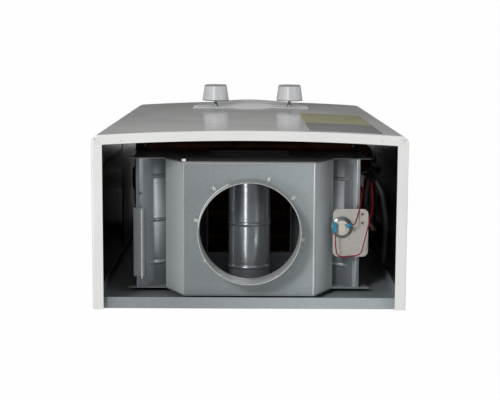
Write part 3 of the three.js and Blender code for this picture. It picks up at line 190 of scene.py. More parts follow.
def bent(corners, radius, steps=8):
    """A line of corner points with each corner rounded by a curve from radius before it to radius after it,
    and a station just outside each curve that keeps the flats flat."""
    corners = [np.asarray(p, float) for p in corners]
    line = [corners[0]]
    for before, here, after in zip(corners, corners[1:], corners[2:]):
        back, ahead = before - here, after - here
        back_length, ahead_length = np.linalg.norm(back), np.linalg.norm(ahead)
        back, ahead = back / back_length, ahead / ahead_length
        angle = math.acos(float(np.clip(back @ ahead, -1, 1)))
        reach = min(radius / math.tan(angle / 2), back_length * 0.48, ahead_length * 0.48)
        t = np.linspace(0, 1, steps + 1)[:, None]
        start, end = here + back * reach, here + ahead * reach
        line.append(start + back * min(FLAT_HOLD, reach * 0.2))
        line.extend((1 - t) ** 2 * start + 2 * t * (1 - t) * here + t ** 2 * end)
        line.append(end + ahead * min(FLAT_HOLD, reach * 0.2))
    line.append(corners[-1])
    return np.array(line)


def arc(across, along, radius, end=np.pi / 2, count=5):
    """Points of a profile round (across, along) from angle 0 to end: radius cos a across and radius sin a
    along, with one radius for a circle or two for an ellipse."""
    turn = np.linspace(0, end, count)
    wide, high = np.broadcast_to(radius, 2)
    return np.stack([across + wide * np.cos(turn), along + high * np.sin(turn)], -1)


def tube(name, route, radius, bend, materials, sides=28, bore=0.0, **kept):
    """A round pipe or wire: a circle carried square to the rounded route, its turn taken from the fixed
    direction that lies furthest from every stretch of the route, and both ends closed. With a bore, each end
    opens BORE_DEPTH deep."""
    line = bent(route, bend)
    ahead = np.gradient(line, axis=0)
    ahead /= np.linalg.norm(ahead, axis=1, keepdims=True)
    tries = np.array([[1, 0, 0], [0, 1, 0], [0, 0, 1], [1, 1, 1], [1, -1, 1], [1, 1, -1], [-1, 1, 1],
                      [1, 2, 3], [3, -1, 2], [-2, 3, 1]], float)
    tries /= np.linalg.norm(tries, axis=1, keepdims=True)
    up = tries[np.argmin(np.abs(tries @ ahead.T).max(axis=1))]
    side = np.cross(ahead, up)
    side /= np.linalg.norm(side, axis=1, keepdims=True)
    other = np.cross(side, ahead)
    turn = np.linspace(0, 2 * np.pi, sides, endpoint=False)
    circle = side[:, None] * np.cos(turn)[:, None] + other[:, None] * np.sin(turn)[:, None]
    rings = line[:, None] + circle * radius
    start, end = [np.repeat(line[i][None, None], sides, axis=1) for i in (0, -1)]
    if bore:
        start, end = (ring + (middle - ring) * (1 - bore / radius)
                      for ring, middle in ((rings[:1], line[0]), (rings[-1:], line[-1])))
        deep = ahead[[0, -1]][:, None] * np.array([[[BORE_DEPTH]], [[-BORE_DEPTH]]])
        start_floor, end_floor = (np.repeat((line[i] + deep[i])[None], sides, axis=1) for i in (0, -1))
        start = np.concatenate([start_floor, start + deep[:1], start])
        end = np.concatenate([end, end + deep[1:], end_floor])
    points = np.concatenate([start, rings, end])
    faces = quads(len(points), sides, wrap_columns=True)[:, ::-1]
    return place(name, points.reshape(-1, 3), faces, materials, **kept)


def turned(name, profile, axis, centre, materials, sides=72, which=None, **kept):
    """A profile of (radius, distance) pairs turned about an axis through centre: the point at angle a lies
    at radius times (cos a, sin a) across the axis."""
    profile = np.asarray(profile, float)
    turn = np.linspace(0, 2 * np.pi, sides, endpoint=False)
    radius, along = profile[:, :1] + 0 * turn, profile[:, 1:] + 0 * turn
    one, two = radius * np.cos(turn), radius * np.sin(turn)
    order = {"x": (along, one + centre[0], two + centre[1]),
             "y": (two + centre[0], along, one + centre[1]),
             "z": (one + centre[0], two + centre[1], along)}[axis]
    faces = quads(len(profile), sides, wrap_columns=True)
    area = np.sum(profile[:, 0] * np.gradient(profile[:, 1]))
    if area > 0:
        faces = faces[:, ::-1]
    band = None if which is None else np.repeat(np.asarray(which), sides)
    return place(name, np.stack(order, -1).reshape(-1, 3), faces, materials, which=band, **kept)


def boxes(lows, highs):
    """Points and faces of many boxes between paired low and high corners."""
    lows, highs = np.asarray(lows, float), np.asarray(highs, float)
    pick = np.array([[i, j, k] for i in (0, 1) for j in (0, 1) for k in (0, 1)])
    points = lows[:, None] + pick * (highs - lows)[:, None]
    one = np.array([[0, 1, 3, 2], [4, 6, 7, 5], [0, 4, 5, 1], [2, 3, 7, 6], [0, 2, 6, 4], [1, 5, 7, 3]])
    faces = one[None] + np.arange(len(lows))[:, None, None] * 8
    return points.reshape(-1, 3), faces.reshape(-1, 4)


def prism(outline, low, high):
    """Points and faces of a four-cornered plan outline raised from low to high, whichever way it turns."""
    outline = np.asarray(outline, float)
    x, y = outline.T
    if np.sum(x * np.roll(y, -1) - np.roll(x, -1) * y) < 0:
        outline = outline[::-1]
    points = np.vstack([np.column_stack([outline, np.full(4, level)]) for level in (low, high)])
    sides = [[i, (i + 1) % 4, (i + 1) % 4 + 4, i + 4] for i in range(4)]
    return points, np.array([[3, 2, 1, 0], [4, 5, 6, 7], *sides])


def strip(a, b, half):
    """Four corners of a strip in plan from a to b, half wide to each side."""
    a, b = np.asarray(a, float), np.asarray(b, float)
    along = (b - a) / np.linalg.norm(b - a)
    across = np.array([-along[1], along[0]]) * half
    return [a - across, b - across, b + across, a + across]


# Materials
def colour(code):
    """sRGB hex to linear: c / 12.92 up to 0.04045, else ((c + 0.055) / 1.055) ** 2.4."""
    value = np.array([int(code[i:i + 2], 16) for i in (1, 3, 5)]) / 255
    linear = np.where(value <= 0.04045, value / 12.92, ((value + 0.055) / 1.055) ** 2.4)
    return (*linear.tolist(), 1.0)


def add(tree, kind, values=None, links=None, **settings):
    """Adds a node with its settings, its socket values and its links from other nodes' sockets."""
    made = tree.nodes.new(kind)
    for key, value in settings.items():
        setattr(made, key, value)
    for key, value in (values or {}).items():
        made.inputs[key].default_value = value
    for key, socket in (links or {}).items():
        tree.links.new(socket, made.inputs[key])
    return made


def surface(name, base, **shader):
    """A material on Object coordinates: returns it, its tree, its Principled shader and the coordinates."""
    material = bpy.data.materials.new(name)
    material.use_nodes = True
    tree = material.node_tree
    bsdf = tree.nodes["Principled BSDF"]
    bsdf.inputs["Base Color"].default_value = base
    for key, value in shader.items():
        bsdf.inputs[key.replace("_", " ")].default_value = value
    where = add(tree, "ShaderNodeTexCoord").outputs["Object"]
    return material, tree, bsdf, where


def mottled(name, low, high, size_mm, roughness, bump_mm=0.0, grain_mm=0.6, spread=(0.35, 0.65),
            stretch=(1, 1, 1), **shader):
    """Two colours mixed by noise patches of size_mm, roughness that follows them between two values, and a
    bump of bump_mm from noise of grain_mm. Stretch draws the pattern out along an axis."""
    material, tree, bsdf, where = surface(name, colour(low), **shader)
    scaled = add(tree, "ShaderNodeMapping", {"Scale": stretch}, {"Vector": where}).outputs["Vector"]
    patch = add(tree, "ShaderNodeTexNoise", {"Scale": 1000 / size_mm, "Detail": 4.0, "Roughness": 0.6},
                {"Vector": scaled}).outputs["Fac"]
    level = add(tree, "ShaderNodeMapRange", {1: spread[0], 2: spread[1]}, {0: patch}).outputs[0]
    mix = add(tree, "ShaderNodeMix", {6: colour(low), 7: colour(high)}, {0: level}, data_type="RGBA")
    tree.links.new(mix.outputs[2], bsdf.inputs["Base Color"])
    rough = add(tree, "ShaderNodeMapRange", {3: roughness[0], 4: roughness[1]}, {0: level})
    tree.links.new(rough.outputs[0], bsdf.inputs["Roughness"])
    if bump_mm:
        grain = add(tree, "ShaderNodeTexNoise", {"Scale": 1000 / grain_mm, "Detail": 2.0},
                    {"Vector": scaled})
        bump = add(tree, "ShaderNodeBump", {"Strength": 1.0, "Distance": bump_mm * MM},
                   {"Height": grain.outputs["Fac"]})
        tree.links.new(bump.outputs["Normal"], bsdf.inputs["Normal"])
    return material


def spangled(name, dark, light, cell_mm, roughness, painted_light_drift=1.0, **shader):
    """Hot-dip galvanised sheet: Voronoi zinc crystals of cell_mm, each its own tone, under rolled grain of
    1.1 mm, with slow waves of 14 mm as its bump. The tone is painted lighter by the drift factor from x 70
    to -70 mm, as painted light that falls from the -X side, and keeps its mean at x 0."""
    material, tree, bsdf, where = surface(name, colour(dark), **shader)
    crystal = add(tree, "ShaderNodeTexVoronoi", {"Scale": 1000 / cell_mm}, {"Vector": where})
    tone = add(tree, "ShaderNodeSeparateColor", links={"Color": crystal.outputs["Color"]}).outputs[0]
    fine = add(tree, "ShaderNodeTexNoise", {"Scale": 1000 / 1.1, "Detail": 3.0}, {"Vector": where})
    both = add(tree, "ShaderNodeMix", {0: 0.5}, {2: tone, 3: fine.outputs["Fac"]}, data_type="FLOAT")
    mix = add(tree, "ShaderNodeMix", {6: colour(dark), 7: colour(light)}, {0: both.outputs[0]},
              data_type="RGBA")
    # Painted light: the tone is scaled lighter towards -X, as light falls from that side.
    across = add(tree, "ShaderNodeSeparateXYZ", links={0: where}).outputs["X"]
    start = 2 / (1 + painted_light_drift)
    factor = add(tree, "ShaderNodeMapRange", {1: 0.07, 2: -0.07, 3: start, 4: start * painted_light_drift}, {0: across})
    toned = add(tree, "ShaderNodeVectorMath", links={0: mix.outputs[2], 3: factor.outputs[0]},
                operation="SCALE")
    tree.links.new(toned.outputs[0], bsdf.inputs["Base Color"])
    rough = add(tree, "ShaderNodeMapRange", {3: roughness[0], 4: roughness[1]}, {0: tone})
    tree.links.new(rough.outputs[0], bsdf.inputs["Roughness"])
    wave = add(tree, "ShaderNodeTexNoise", {"Scale": 1000 / 14, "Detail": 1.0}, {"Vector": where})
    bump = add(tree, "ShaderNodeBump", {"Strength": 0.5, "Distance": 0.06 * MM},
               {"Height": wave.outputs["Fac"]})
    tree.links.new(bump.outputs["Normal"], bsdf.inputs["Normal"])
    return material


# White stove enamel over sheet steel, sprayed: smooth gloss with a faint orange peel
white_enamel = mottled("white_sprayed_enamel", "#e3e3e1", "#e8e8e6", 90, (0.1, 0.14), 0.004, 2.2)
# The same enamel over rivet heads, greyed by handling, and grey painted shade in the seams of folded corners
rivet_enamel = mottled("handled_enamel", "#c9c9c6", "#d9d9d6", 1.5, (0.2, 0.3))
seam_shade = mottled("enamel_painted_seam_shade", "#a9a9a6", "#dfdfdc", 1.2, (0.3, 0.4), spread=(0.42, 0.58))
# Back of the sheet painted near black: painted shade for the dark inside of the case, glossy where it ran
painted_shade_lining = mottled("black_painted_shade_lining", "#0b0b0d", "#101013", 60, (0.2, 0.24))
# A grey painted reflection of the lit hood on that black, beside the folded corner
painted_reflection_lining = mottled("grey_painted_reflection_lining", "#4a4a4d", "#545457", 30, (0.3, 0.35))
# Pale grey painted light from the open bottom, low on the cover's inside
painted_light_lining = mottled("painted_light_lining", "#a5a0ad", "#b3afbb", 25, (0.3, 0.45))
# Zinc-coated sheet, matt, with small crystals, its tone painted lighter towards -X as light from that side
galvanised = spangled("galvanised_sheet", "#90979a", "#9ca3a6", 2.2, (0.45, 0.46), 1.5,
                      Specular_IOR_Level=0.3)
# The same sheet painted lighter on the hood's sloping sides and its inside, as the light that falls on them
lit_galvanised = spangled("galvanised_sheet_painted_light", "#c5cccf", "#d1d8da", 2.2, (0.45, 0.46), 1.3,
                            Specular_IOR_Level=0.3)
# Near-white zinc, a painted glint along a fold and a seam and on a rivet head
white_zinc_glint = mottled("white_zinc_glint", "#efefeb", "#fafaf7", 2, (0.3, 0.31))
# The same sheet painted light, as the highlight along a fold, a bead or a cut edge
bright_edge_glint = mottled("zinc_edge_painted_glint", "#d2d1cb", "#e6e5e0", 3, (0.25, 0.35), Metallic=0.1)
# And a dimmer, warmer painted highlight along the other fold and the front edge
dim_edge_glint = mottled("zinc_edge_painted_dim_glint", "#b5b0a6", "#c6c1b6", 3, (0.3, 0.4), Metallic=0.2)
# Strip zinc of the collar, drawn through a roll
collar_zinc = mottled("rolled_zinc_collar", "#b4b6b5", "#c6c7c4", 3, (0.35, 0.36), Metallic=0.3)
# Small plated parts, chrome in a darker grey and rougher than polished plate
dark_grey_chrome = mottled("dark_grey_chromium_plate", "#7b8285", "#8b9194", 2, (0.34, 0.36), Metallic=0.8)
# Zinc-coated sheet from a brighter bath, rolled smooth
bright_galvanised = spangled("bright_galvanised_sheet", "#9a9fa4", "#a9adb1", 1.6, (0.23, 0.232),
                             Metallic=0.7)
# Zinc-coated sheet that faces the flames' side, dulled
dull_galvanised = spangled("dull_galvanised_sheet", "#8e9294", "#9ca0a2", 2.2, (0.47, 0.48), Metallic=0.6)
# Electroplated bracket sheet, matt and warm
matt_zinc = mottled("matt_zinc_plate", "#cbc7c1", "#d5d1cb", 5, (0.5, 0.6), Metallic=0.1)
# Copper with a lead-grey dip coating, browned by heat
browned_copper = mottled("heat_browned_copper", "#6e3b25", "#8b4f37", 40, (0.36, 0.42), 0.02, 3,
                         Metallic=0.9)
# The same copper painted darker, painted shade on the coil that lies in shadow
shaded_copper = mottled("shaded_copper", "#5a2d19", "#87502f", 30, (0.4, 0.5), 0.05, 3, Metallic=0.4)
# Lighter copper, a painted sheen along the coil's top run
sheen_copper = mottled("copper_painted_sheen", "#9a542f", "#b96e42", 10, (0.45, 0.5), Metallic=0.3)
# Thin rolled copper fins, near black with lighter copper flecks in patches
fin_copper = mottled("dark_flecked_copper_fin", "#2b180e", "#96603a", 4, (0.35, 0.45), spread=(0.45, 0.75),
                     Metallic=0.6)
# Steel sheet blackened by flue gas
sooted_steel = mottled("sooted_steel", "#101011", "#1e1d1d", 9, (0.5, 0.65), 0.02, 1.0, Metallic=0.5)
# Forged brass, shot-blasted
forged_brass = mottled("forged_brass", "#94783f", "#aa8d50", 8, (0.38, 0.44), 0.03, 0.8, Metallic=0.9)
# Brass screw heads gone dull in warm air
dull_brass = mottled("dull_brass", "#6f6250", "#85765f", 2, (0.5, 0.6), Metallic=0.3)
# Bright stainless strip, lightly brushed along its length
stainless = mottled("brushed_stainless", "#8b8e8e", "#989b9a", 3, (0.32, 0.34), stretch=(0.05, 1, 1),
                    Metallic=0.9)
# Moulded ABS in light grey with a satin finish
grey_abs = mottled("light_grey_moulded_abs", "#c6c7c9", "#cdced0", 20, (0.26, 0.32), 0.01, 0.5)
# The same plastic at the knob's foot and round its face, painted darker as shade at those edges
edge_shade_abs = mottled("grey_abs_painted_edge_shade", "#808184", "#8a8b8e", 3, (0.45, 0.55), 0.02, 0.5)
# Printed strip in silver grey, matt
silver_lacquer = mottled("silver_lacquered_strip", "#f3f4f6", "#f9fafc", 1.2, (0.5, 0.6),
                         Specular_IOR_Level=0.0)
# Printing ink on that strip, a tone under it
pale_ink = mottled("pale_grey_ink", "#bfc1c4", "#c6c8cb", 3, (0.5, 0.6), Specular_IOR_Level=0.0)
# Vinyl label film, olive yellow and slate grey, both with the same gloss as the enamel
olive_film = mottled("olive_label_film", "#b3ae52", "#bab55a", 12, (0.12, 0.18))
slate_film = mottled("slate_label_film", "#4a4a4d", "#525255", 12, (0.12, 0.18))
# Polished chromium plate on steel
chrome = mottled("polished_chromium_plate", "#c9d3d6", "#d6dfe1", 12, (0.08, 0.14), Metallic=1.0)
# Glazed steatite ceramic
cream_steatite = mottled("glazed_steatite", "#e2dccf", "#ebe6db", 5, (0.25, 0.4), 0.02, 0.6)
# Phenolic and ABS housings in black, fine spark-eroded texture
black_abs = mottled("black_moulded_abs", "#191a1c", "#232427", 4, (0.45, 0.6), 0.05, 0.7)
# Silicone lead insulation
red_silicone = mottled("red_silicone_lead", "#8e1418", "#a61d20", 4, (0.35, 0.5))
# Grey PVC sheath, its skin slightly rippled by the extruder
grey_pvc = mottled("grey_pvc_sheath", "#2a2b28", "#363733", 5, (0.4, 0.55), 0.03, 1.0)
# Blue nylon sleeves pushed over the blades
blue_nylon = mottled("blue_nylon_sleeve", "#2482a8", "#3a9cc2", 4, (0.3, 0.4))
# Printed metal jacket of a dry cell
cell_jacket = mottled("printed_cell_jacket", "#33496f", "#3d5684", 10, (0.3, 0.4), Metallic=0.4)


def braided(name, dark, light, pitch_mm):
    """Glass-fibre sleeve: two crossing wave bands at pitch_mm give the braid's bumps and tones."""
    material, tree, bsdf, where = surface(name, colour(dark))
    bands = [add(tree, "ShaderNodeTexWave", {"Scale": 1000 / pitch_mm / 6.3}, {
        "Vector": add(tree, "ShaderNodeMapping", {"Rotation": (0, 0, turn)}, {"Vector": where}).outputs[0]},
        bands_direction="DIAGONAL").outputs["Fac"] for turn in (0, math.pi / 2)]
    cross = add(tree, "ShaderNodeMath", links={0: bands[0], 1: bands[1]}, operation="MAXIMUM").outputs[0]
    mix = add(tree, "ShaderNodeMix", {6: colour(dark), 7: colour(light)}, {0: cross}, data_type="RGBA")
    tree.links.new(mix.outputs[2], bsdf.inputs["Base Color"])
    bump = add(tree, "ShaderNodeBump", {"Distance": 0.25 * MM}, {"Height": cross})
    tree.links.new(bump.outputs["Normal"], bsdf.inputs["Normal"])
    bsdf.inputs["Roughness"].default_value = 0.6
    return material


black_braid = braided("black_glass_braid", "#0b0b0d", "#1a1b1f", 2.4)

NODE_FINISH = {
    white_enamel: ["front_cover"],
    galvanised: ["back_plate", "bottom_shelf", "flue_collar", "hood_shell", "hood_back_sheet", "hood_base",
                 "hood_bracket"],
    matt_zinc: ["thermostat_bracket"],
    dull_galvanised: ["hood_front_sheet"],
    bright_galvanised: ["left_wing", "right_wing", "draught_baffle"],
    silver_lacquer: ["control_bezel"],
    grey_abs: ["gas_knob", "water_knob", "battery_box", "battery_lid"],
    chrome: ["gas_spindle", "water_spindle"],
    cream_steatite: ["flue_thermostat", "ignition_electrode", "flame_sensor"],
    fin_copper: ["fin_block"],
    browned_copper: ["return_bend_1", "return_bend_2", "return_bend_3", "combustion_chamber", "coil_pipe",
                     "hot_pipe"],
    stainless: ["burner_frame", "pushrod", "switch_lever", *[f"burner_bar_{i}" for i in range(1, 7)]],
    forged_brass: ["gas_rail", "gas_valve", "water_valve", "diaphragm_cover", "gas_inlet_pipe",
                   "cold_inlet_pipe", "gas_nut", "cold_nut", "hot_nut"],
    black_abs: ["gas_solenoid", "micro_switch", "drain_plug", "igniter_box"],
    grey_pvc: ["ignition_lead", "side_cable"],
    red_silicone: ["sensor_lead", "thermostat_lead_1", "thermostat_lead_2"],
    black_braid: ["harness_sleeve"],
    cell_jacket: ["battery_1", "battery_2"],
}
for material, names in NODE_FINISH.items():
    for node_name in names:
        for material_slot in nodes[node_name].material_slots:
            material_slot.link = "OBJECT"
            material_slot.material = material


# Case and controls
def front_at(x, out=0.0):
    """The bowed front's y at x: a circle of BOW_RADIUS about BOW_CENTRE_Y, out millimetres proud of it."""
    return BOW_CENTRE_Y - np.sqrt((BOW_RADIUS + out) ** 2 - np.asarray(x) ** 2)


def case_plan(inset, corner, front_x):
    """Plan line of the case from one wall edge round the front to the other: straight side, quarter bend of
    radius corner, bowed front at front_x (-1 to 1), mirrored. All plans have the same number of stations."""
    side, bow = CASE_HALF_WIDTH - inset, BOW_RADIUS - inset
    corner_x = side - corner
    corner_y = BOW_CENTRE_Y - math.sqrt((bow - corner) ** 2 - corner_x ** 2)
    lean = math.asin(corner_x / (bow - corner))
    walls = np.linspace(0, 1, 12)
    wall_y = -COVER_WALL_GAP + (corner_y + COVER_WALL_GAP) * walls
    turn = np.linspace(0, np.pi / 2 - lean, 11)[1:-1]
    arc = np.stack([corner_x + corner * np.cos(turn), corner_y - corner * np.sin(turn)], -1)
    right = np.vstack([np.stack([np.full(12, side), wall_y], -1), arc])
    reach = bow * math.sin(lean)
    front_x = front_x[::-1] * reach
    front = np.stack([front_x, BOW_CENTRE_Y - np.sqrt(bow ** 2 - front_x ** 2)], -1)
    left = right[::-1] * [-1, 1]
    return np.vstack([right, front, left])


def cover_finish(x, y, z, layer):
    """Enamel outside; inside, black painted shade, pale painted light from the open bottom low down, a band
    of painted shade for a gap above that, and a painted reflection at one corner.
    """
    lining = np.where(z < LIT_LINING_TOP, 2, np.where(z < GAP_SHADE_TOP, 3, 1))
    lining = np.where((lining == 1) & (x > REFLECTION_X) & (y < REFLECTION_Y), 4, lining)
    return np.where(layer == 1, lining, 0)


def front_cover():
    """Cover: each plan station runs up the case as the line (inset, z): rim in, fold, face, fold, rim in.
    The point is the outer plan moved inset / FRONT_RIM of the way to the rim's inner plan. The relief low
    on the front rises RELIEF_RISE cos^2(pi a / 2) at the share a of its half-sizes from its middle."""
    reach = CASE_HALF_WIDTH - CASE_CORNER + 0.14
    near_knob = [x + step for x in KNOB_PLACES.values() for step in np.linspace(-16, 16, 17)]
    front_x = np.unique(np.round(np.concatenate([np.linspace(-reach, reach, 80), near_knob]), 3)) / reach
    outer, inner = case_plan(0, CASE_CORNER, front_x), case_plan(FRONT_RIM, RIM_CORNER, front_x)
    inner[:, 0] = np.clip(inner[:, 0], SIDE_RIM - CASE_HALF_WIDTH, CASE_HALF_WIDTH - SIDE_RIM)
    turn = np.linspace(0, np.pi / 2, 7)
    fold = np.stack([EDGE_FOLD * (1 - np.sin(turn)), CASE_TOP - EDGE_FOLD * (1 - np.cos(turn))], -1)
    faces_z = stations((-CASE_TOP + EDGE_FOLD + 1, -220, 2), (-220, -171, 7), (-171, -139, 2),
                       (-139, LIT_LINING_TOP, 11), (LIT_LINING_TOP, GAP_SHADE_TOP, 5), (GAP_SHADE_TOP, 272, 13))
    line = np.vstack([[[FRONT_RIM, -CASE_TOP], [EDGE_FOLD + 1, -CASE_TOP]], fold * [1, -1],
                      np.stack([0 * faces_z, faces_z], -1), fold[::-1],
                      [[EDGE_FOLD + 1, CASE_TOP], [FRONT_RIM, CASE_TOP]]])
    share, z = line[:, 0] / FRONT_RIM, line[:, 1]
    plan = outer[:, None] + (inner - outer)[:, None] * share[None, :, None]
    points = grid(plan[..., 0], plan[..., 1], z)
    away = np.hypot(points[..., 0] / RELIEF_HALF[0], (points[..., 2] - RELIEF_Z) / RELIEF_HALF[1])
    rise = RELIEF_RISE * np.cos(np.pi / 2 * np.clip(away, 0, 1)) ** 2
    points[..., 1] -= np.where(points[..., 1] < FRONT_FROM_Y, rise, 0)
    inside = np.zeros(points.shape[:2], bool)
    for x in KNOB_PLACES.values():
        inside |= open_hole(points, 0, 2, (x, KNOB_Z), *SPINDLE_HOLE) & (points[..., 1] < FRONT_FROM_Y)
    faces = keep_outside(quads(*points.shape[:2])[:, ::-1], inside)
    # The black ABS inside the cover is a band of painted shade for a gap.
    sheet("cover_skin", points, faces, CASE_WALL,
          [white_enamel, painted_shade_lining, painted_light_lining, black_abs, painted_reflection_lining], cover_finish,
          stands_for=["front_cover"], slot="enamel")


front_cover()


def on_front(name, x, z, out, depth, materials, **kept):
    """A thin sheet laid on the bowed front: the grid of x and z stations at front_at(x, out)."""
    points = grid(x[:, None], front_at(x, out)[:, None], z)
    return sheet(name, points, quads(len(x), len(z)), depth, materials, **kept)


# Two-tone label at the front's -X side
for label_name, span, film in (("label_upper_film", LABEL_Z[1:], slate_film),
                               ("label_lower_film", LABEL_Z[:2], olive_film)):
    on_front(label_name, stations((*LABEL_X, 4)), stations((*span, 8)), 0.14, 0.12, [film], slot="enamel")


def cover_marks():
    """Painted-over rivet heads on the upper rim, and strips of painted shade for the cut seams of its two
    folded corners.
    """
    profile = np.vstack([[[0, CASE_TOP - 0.2], [1.3, CASE_TOP - 0.2]], arc(0, CASE_TOP, (1.3, 0.25))])
    for number, (x, y) in enumerate([(133.7, -179.2), (-137.2, -180.2)]):
        turned(f"painted_rivet_{number + 1}", profile, "z", (x, y), [rivet_enamel], sides=20, slot="enamel")
    seams = [([162.6, -182.0], [153.9, -175.2], 0.22), ([154.6, -181.1], [161.4, -181.1], 0.25),
             ([160.6, -181.1], [160.4, -174.4], 0.2)]
    for side, name in ((1, "right"), (-1, "left")):
        for number, seam in enumerate(seams):
            place(f"corner_seam_shade_{name}_{number + 1}",
                  *prism(np.array(strip(*seam)) * [side, 1], CASE_TOP - 0.1, CASE_TOP + 0.03), [seam_shade],
                  slot="enamel")


cover_marks()


def control_bezel():
    """Bezel: half-height BEZEL_FLAT + sqrt(r^2 - t^2) at t into its ends rounded by r = BEZEL_END, and the
    oval's b sqrt(1 - (x / a)^2) where that is more, laid on the bowed front."""
    bend = BEZEL_HALF - BEZEL_END
    wide = BEZEL_OVAL[0] + 2.5
    x = stations((-BEZEL_HALF, -bend, 0.5), (-bend, -wide, 1.5), (-wide, wide, 1), (wide, bend, 1.5),
                 (bend, BEZEL_HALF, 0.5))
    band = BEZEL_FLAT + np.sqrt(BEZEL_END ** 2 - np.clip(np.abs(x) - bend, 0, BEZEL_END) ** 2)
    oval = BEZEL_OVAL[1] * np.sqrt(np.clip(1 - (x / BEZEL_OVAL[0]) ** 2, 0, 1))
    height = np.logaddexp(band * 0.3, oval * 0.3) / 0.3
    height = np.where(np.abs(x) > wide - 1, band, height)
    points = grid(x[:, None] + BEZEL_MIDDLE, 0, KNOB_Z + height[:, None] * np.linspace(-1, 1, 61))
    inside = np.zeros(points.shape[:2], bool)
    for knob_x in KNOB_PLACES.values():
        inside |= open_hole(points, 0, 2, (knob_x, KNOB_Z), *BEZEL_HOLE)
    points[..., 1] = front_at(points[..., 0], 0.7)
    sheet("bezel_plate", points, keep_outside(quads(*points.shape[:2]), inside), 0.35, [silver_lacquer],
          stands_for=["control_bezel"], slot="silver")


control_bezel()


def printed_scales():
    """Round each knob a printed arc that widens as it turns: a ring sector of inner radius SCALE_RADIUS and
    width 0.4 + 1.5 s at the share s of its turn."""
    turn, across = np.meshgrid(np.radians(np.linspace(225, -20, 61)), np.linspace(0, 1, 3), indexing="ij")
    radius = SCALE_RADIUS + across * (0.4 + 1.5 * np.linspace(0, 1, 61)[:, None])
    for name, x in KNOB_PLACES.items():
        px = x + radius * np.cos(turn)
        sheet(f"{name}_scale_print", grid(px, front_at(px, 0.78), KNOB_Z + radius * np.sin(turn)),
              quads(61, 3), 0.06, [pale_ink], slot="silver")


printed_scales()


def knob(name, body, x):
    """Knob: a tapered cup turned about the spindle, its face edge an arc of radius edge, with painted shade
    at its foot and round its face's edge, and a pointer line let into its face."""
    base, face, bore, edge, foot, top = KNOB_BASE, KNOB_FACE, 2.6, 2.6, 18.15, 15.4
    turn = np.linspace(0, np.pi / 2, 9)
    rim = np.stack([top - edge * (1 - np.cos(turn)), face + edge * (1 - np.sin(turn))], -1)
    profile = np.vstack([[[0, base - KNOB_DEPTH], [bore, base - KNOB_DEPTH], [bore, base],
                          [foot - 1.6, base], [foot - 0.5, base - 0.15], [foot, base - 0.8],
                          [foot - 0.1, base - 1.4], [top + 0.1, face + edge + 0.4]],
                         rim, [[9, face], [0, face]]])
    # Bands marked 1 are painted shade at the foot and round the face's edge.
    which = [0] * 3 + [1] * 3 + [0] * 3 + [1] * 7 + [0] * 2
    turned(f"{name}_cap", profile, "y", (x, KNOB_Z), [grey_abs, edge_shade_abs], sides=120, which=which,
           body=body, stands_for=[name], slot="greyPlastic")
    pointer = boxes([[x - 0.9, face - 0.04, KNOB_Z + 3]], [[x + 0.9, face + 0.3, KNOB_Z + 12.6]])
    place(f"{name}_pointer", *pointer, [black_abs], body=body, slot="greyPlastic")


def spindle(name, body, x):
    """Spindle: a thin rod that swells to a collar where it leaves the panel."""
    panel, tip, inner_end = float(front_at(x)), KNOB_BASE - KNOB_DEPTH + 0.3, -116
    profile = [[0, tip], [1.7, tip], [1.95, tip + 0.4], [1.95, panel - 5.4], [2.2, panel - 4.8],
               [2.9, panel - 3.4], [3.1, panel - 2.4], [3.1, panel + 4.6], [2.7, panel + 4.9],
               [2.3, panel + 4.9], [2.3, inner_end], [0, inner_end]]
    turned(f"{name}_rod", profile, "y", (x, KNOB_Z), [dark_grey_chrome], sides=48, body=body, stands_for=[name],
           slot="chrome")


for side_name, knob_x in KNOB_PLACES.items():
    knob(f"{side_name}_knob", f"{side_name}_control", knob_x)
    spindle(f"{side_name}_spindle", f"{side_name}_control", knob_x)


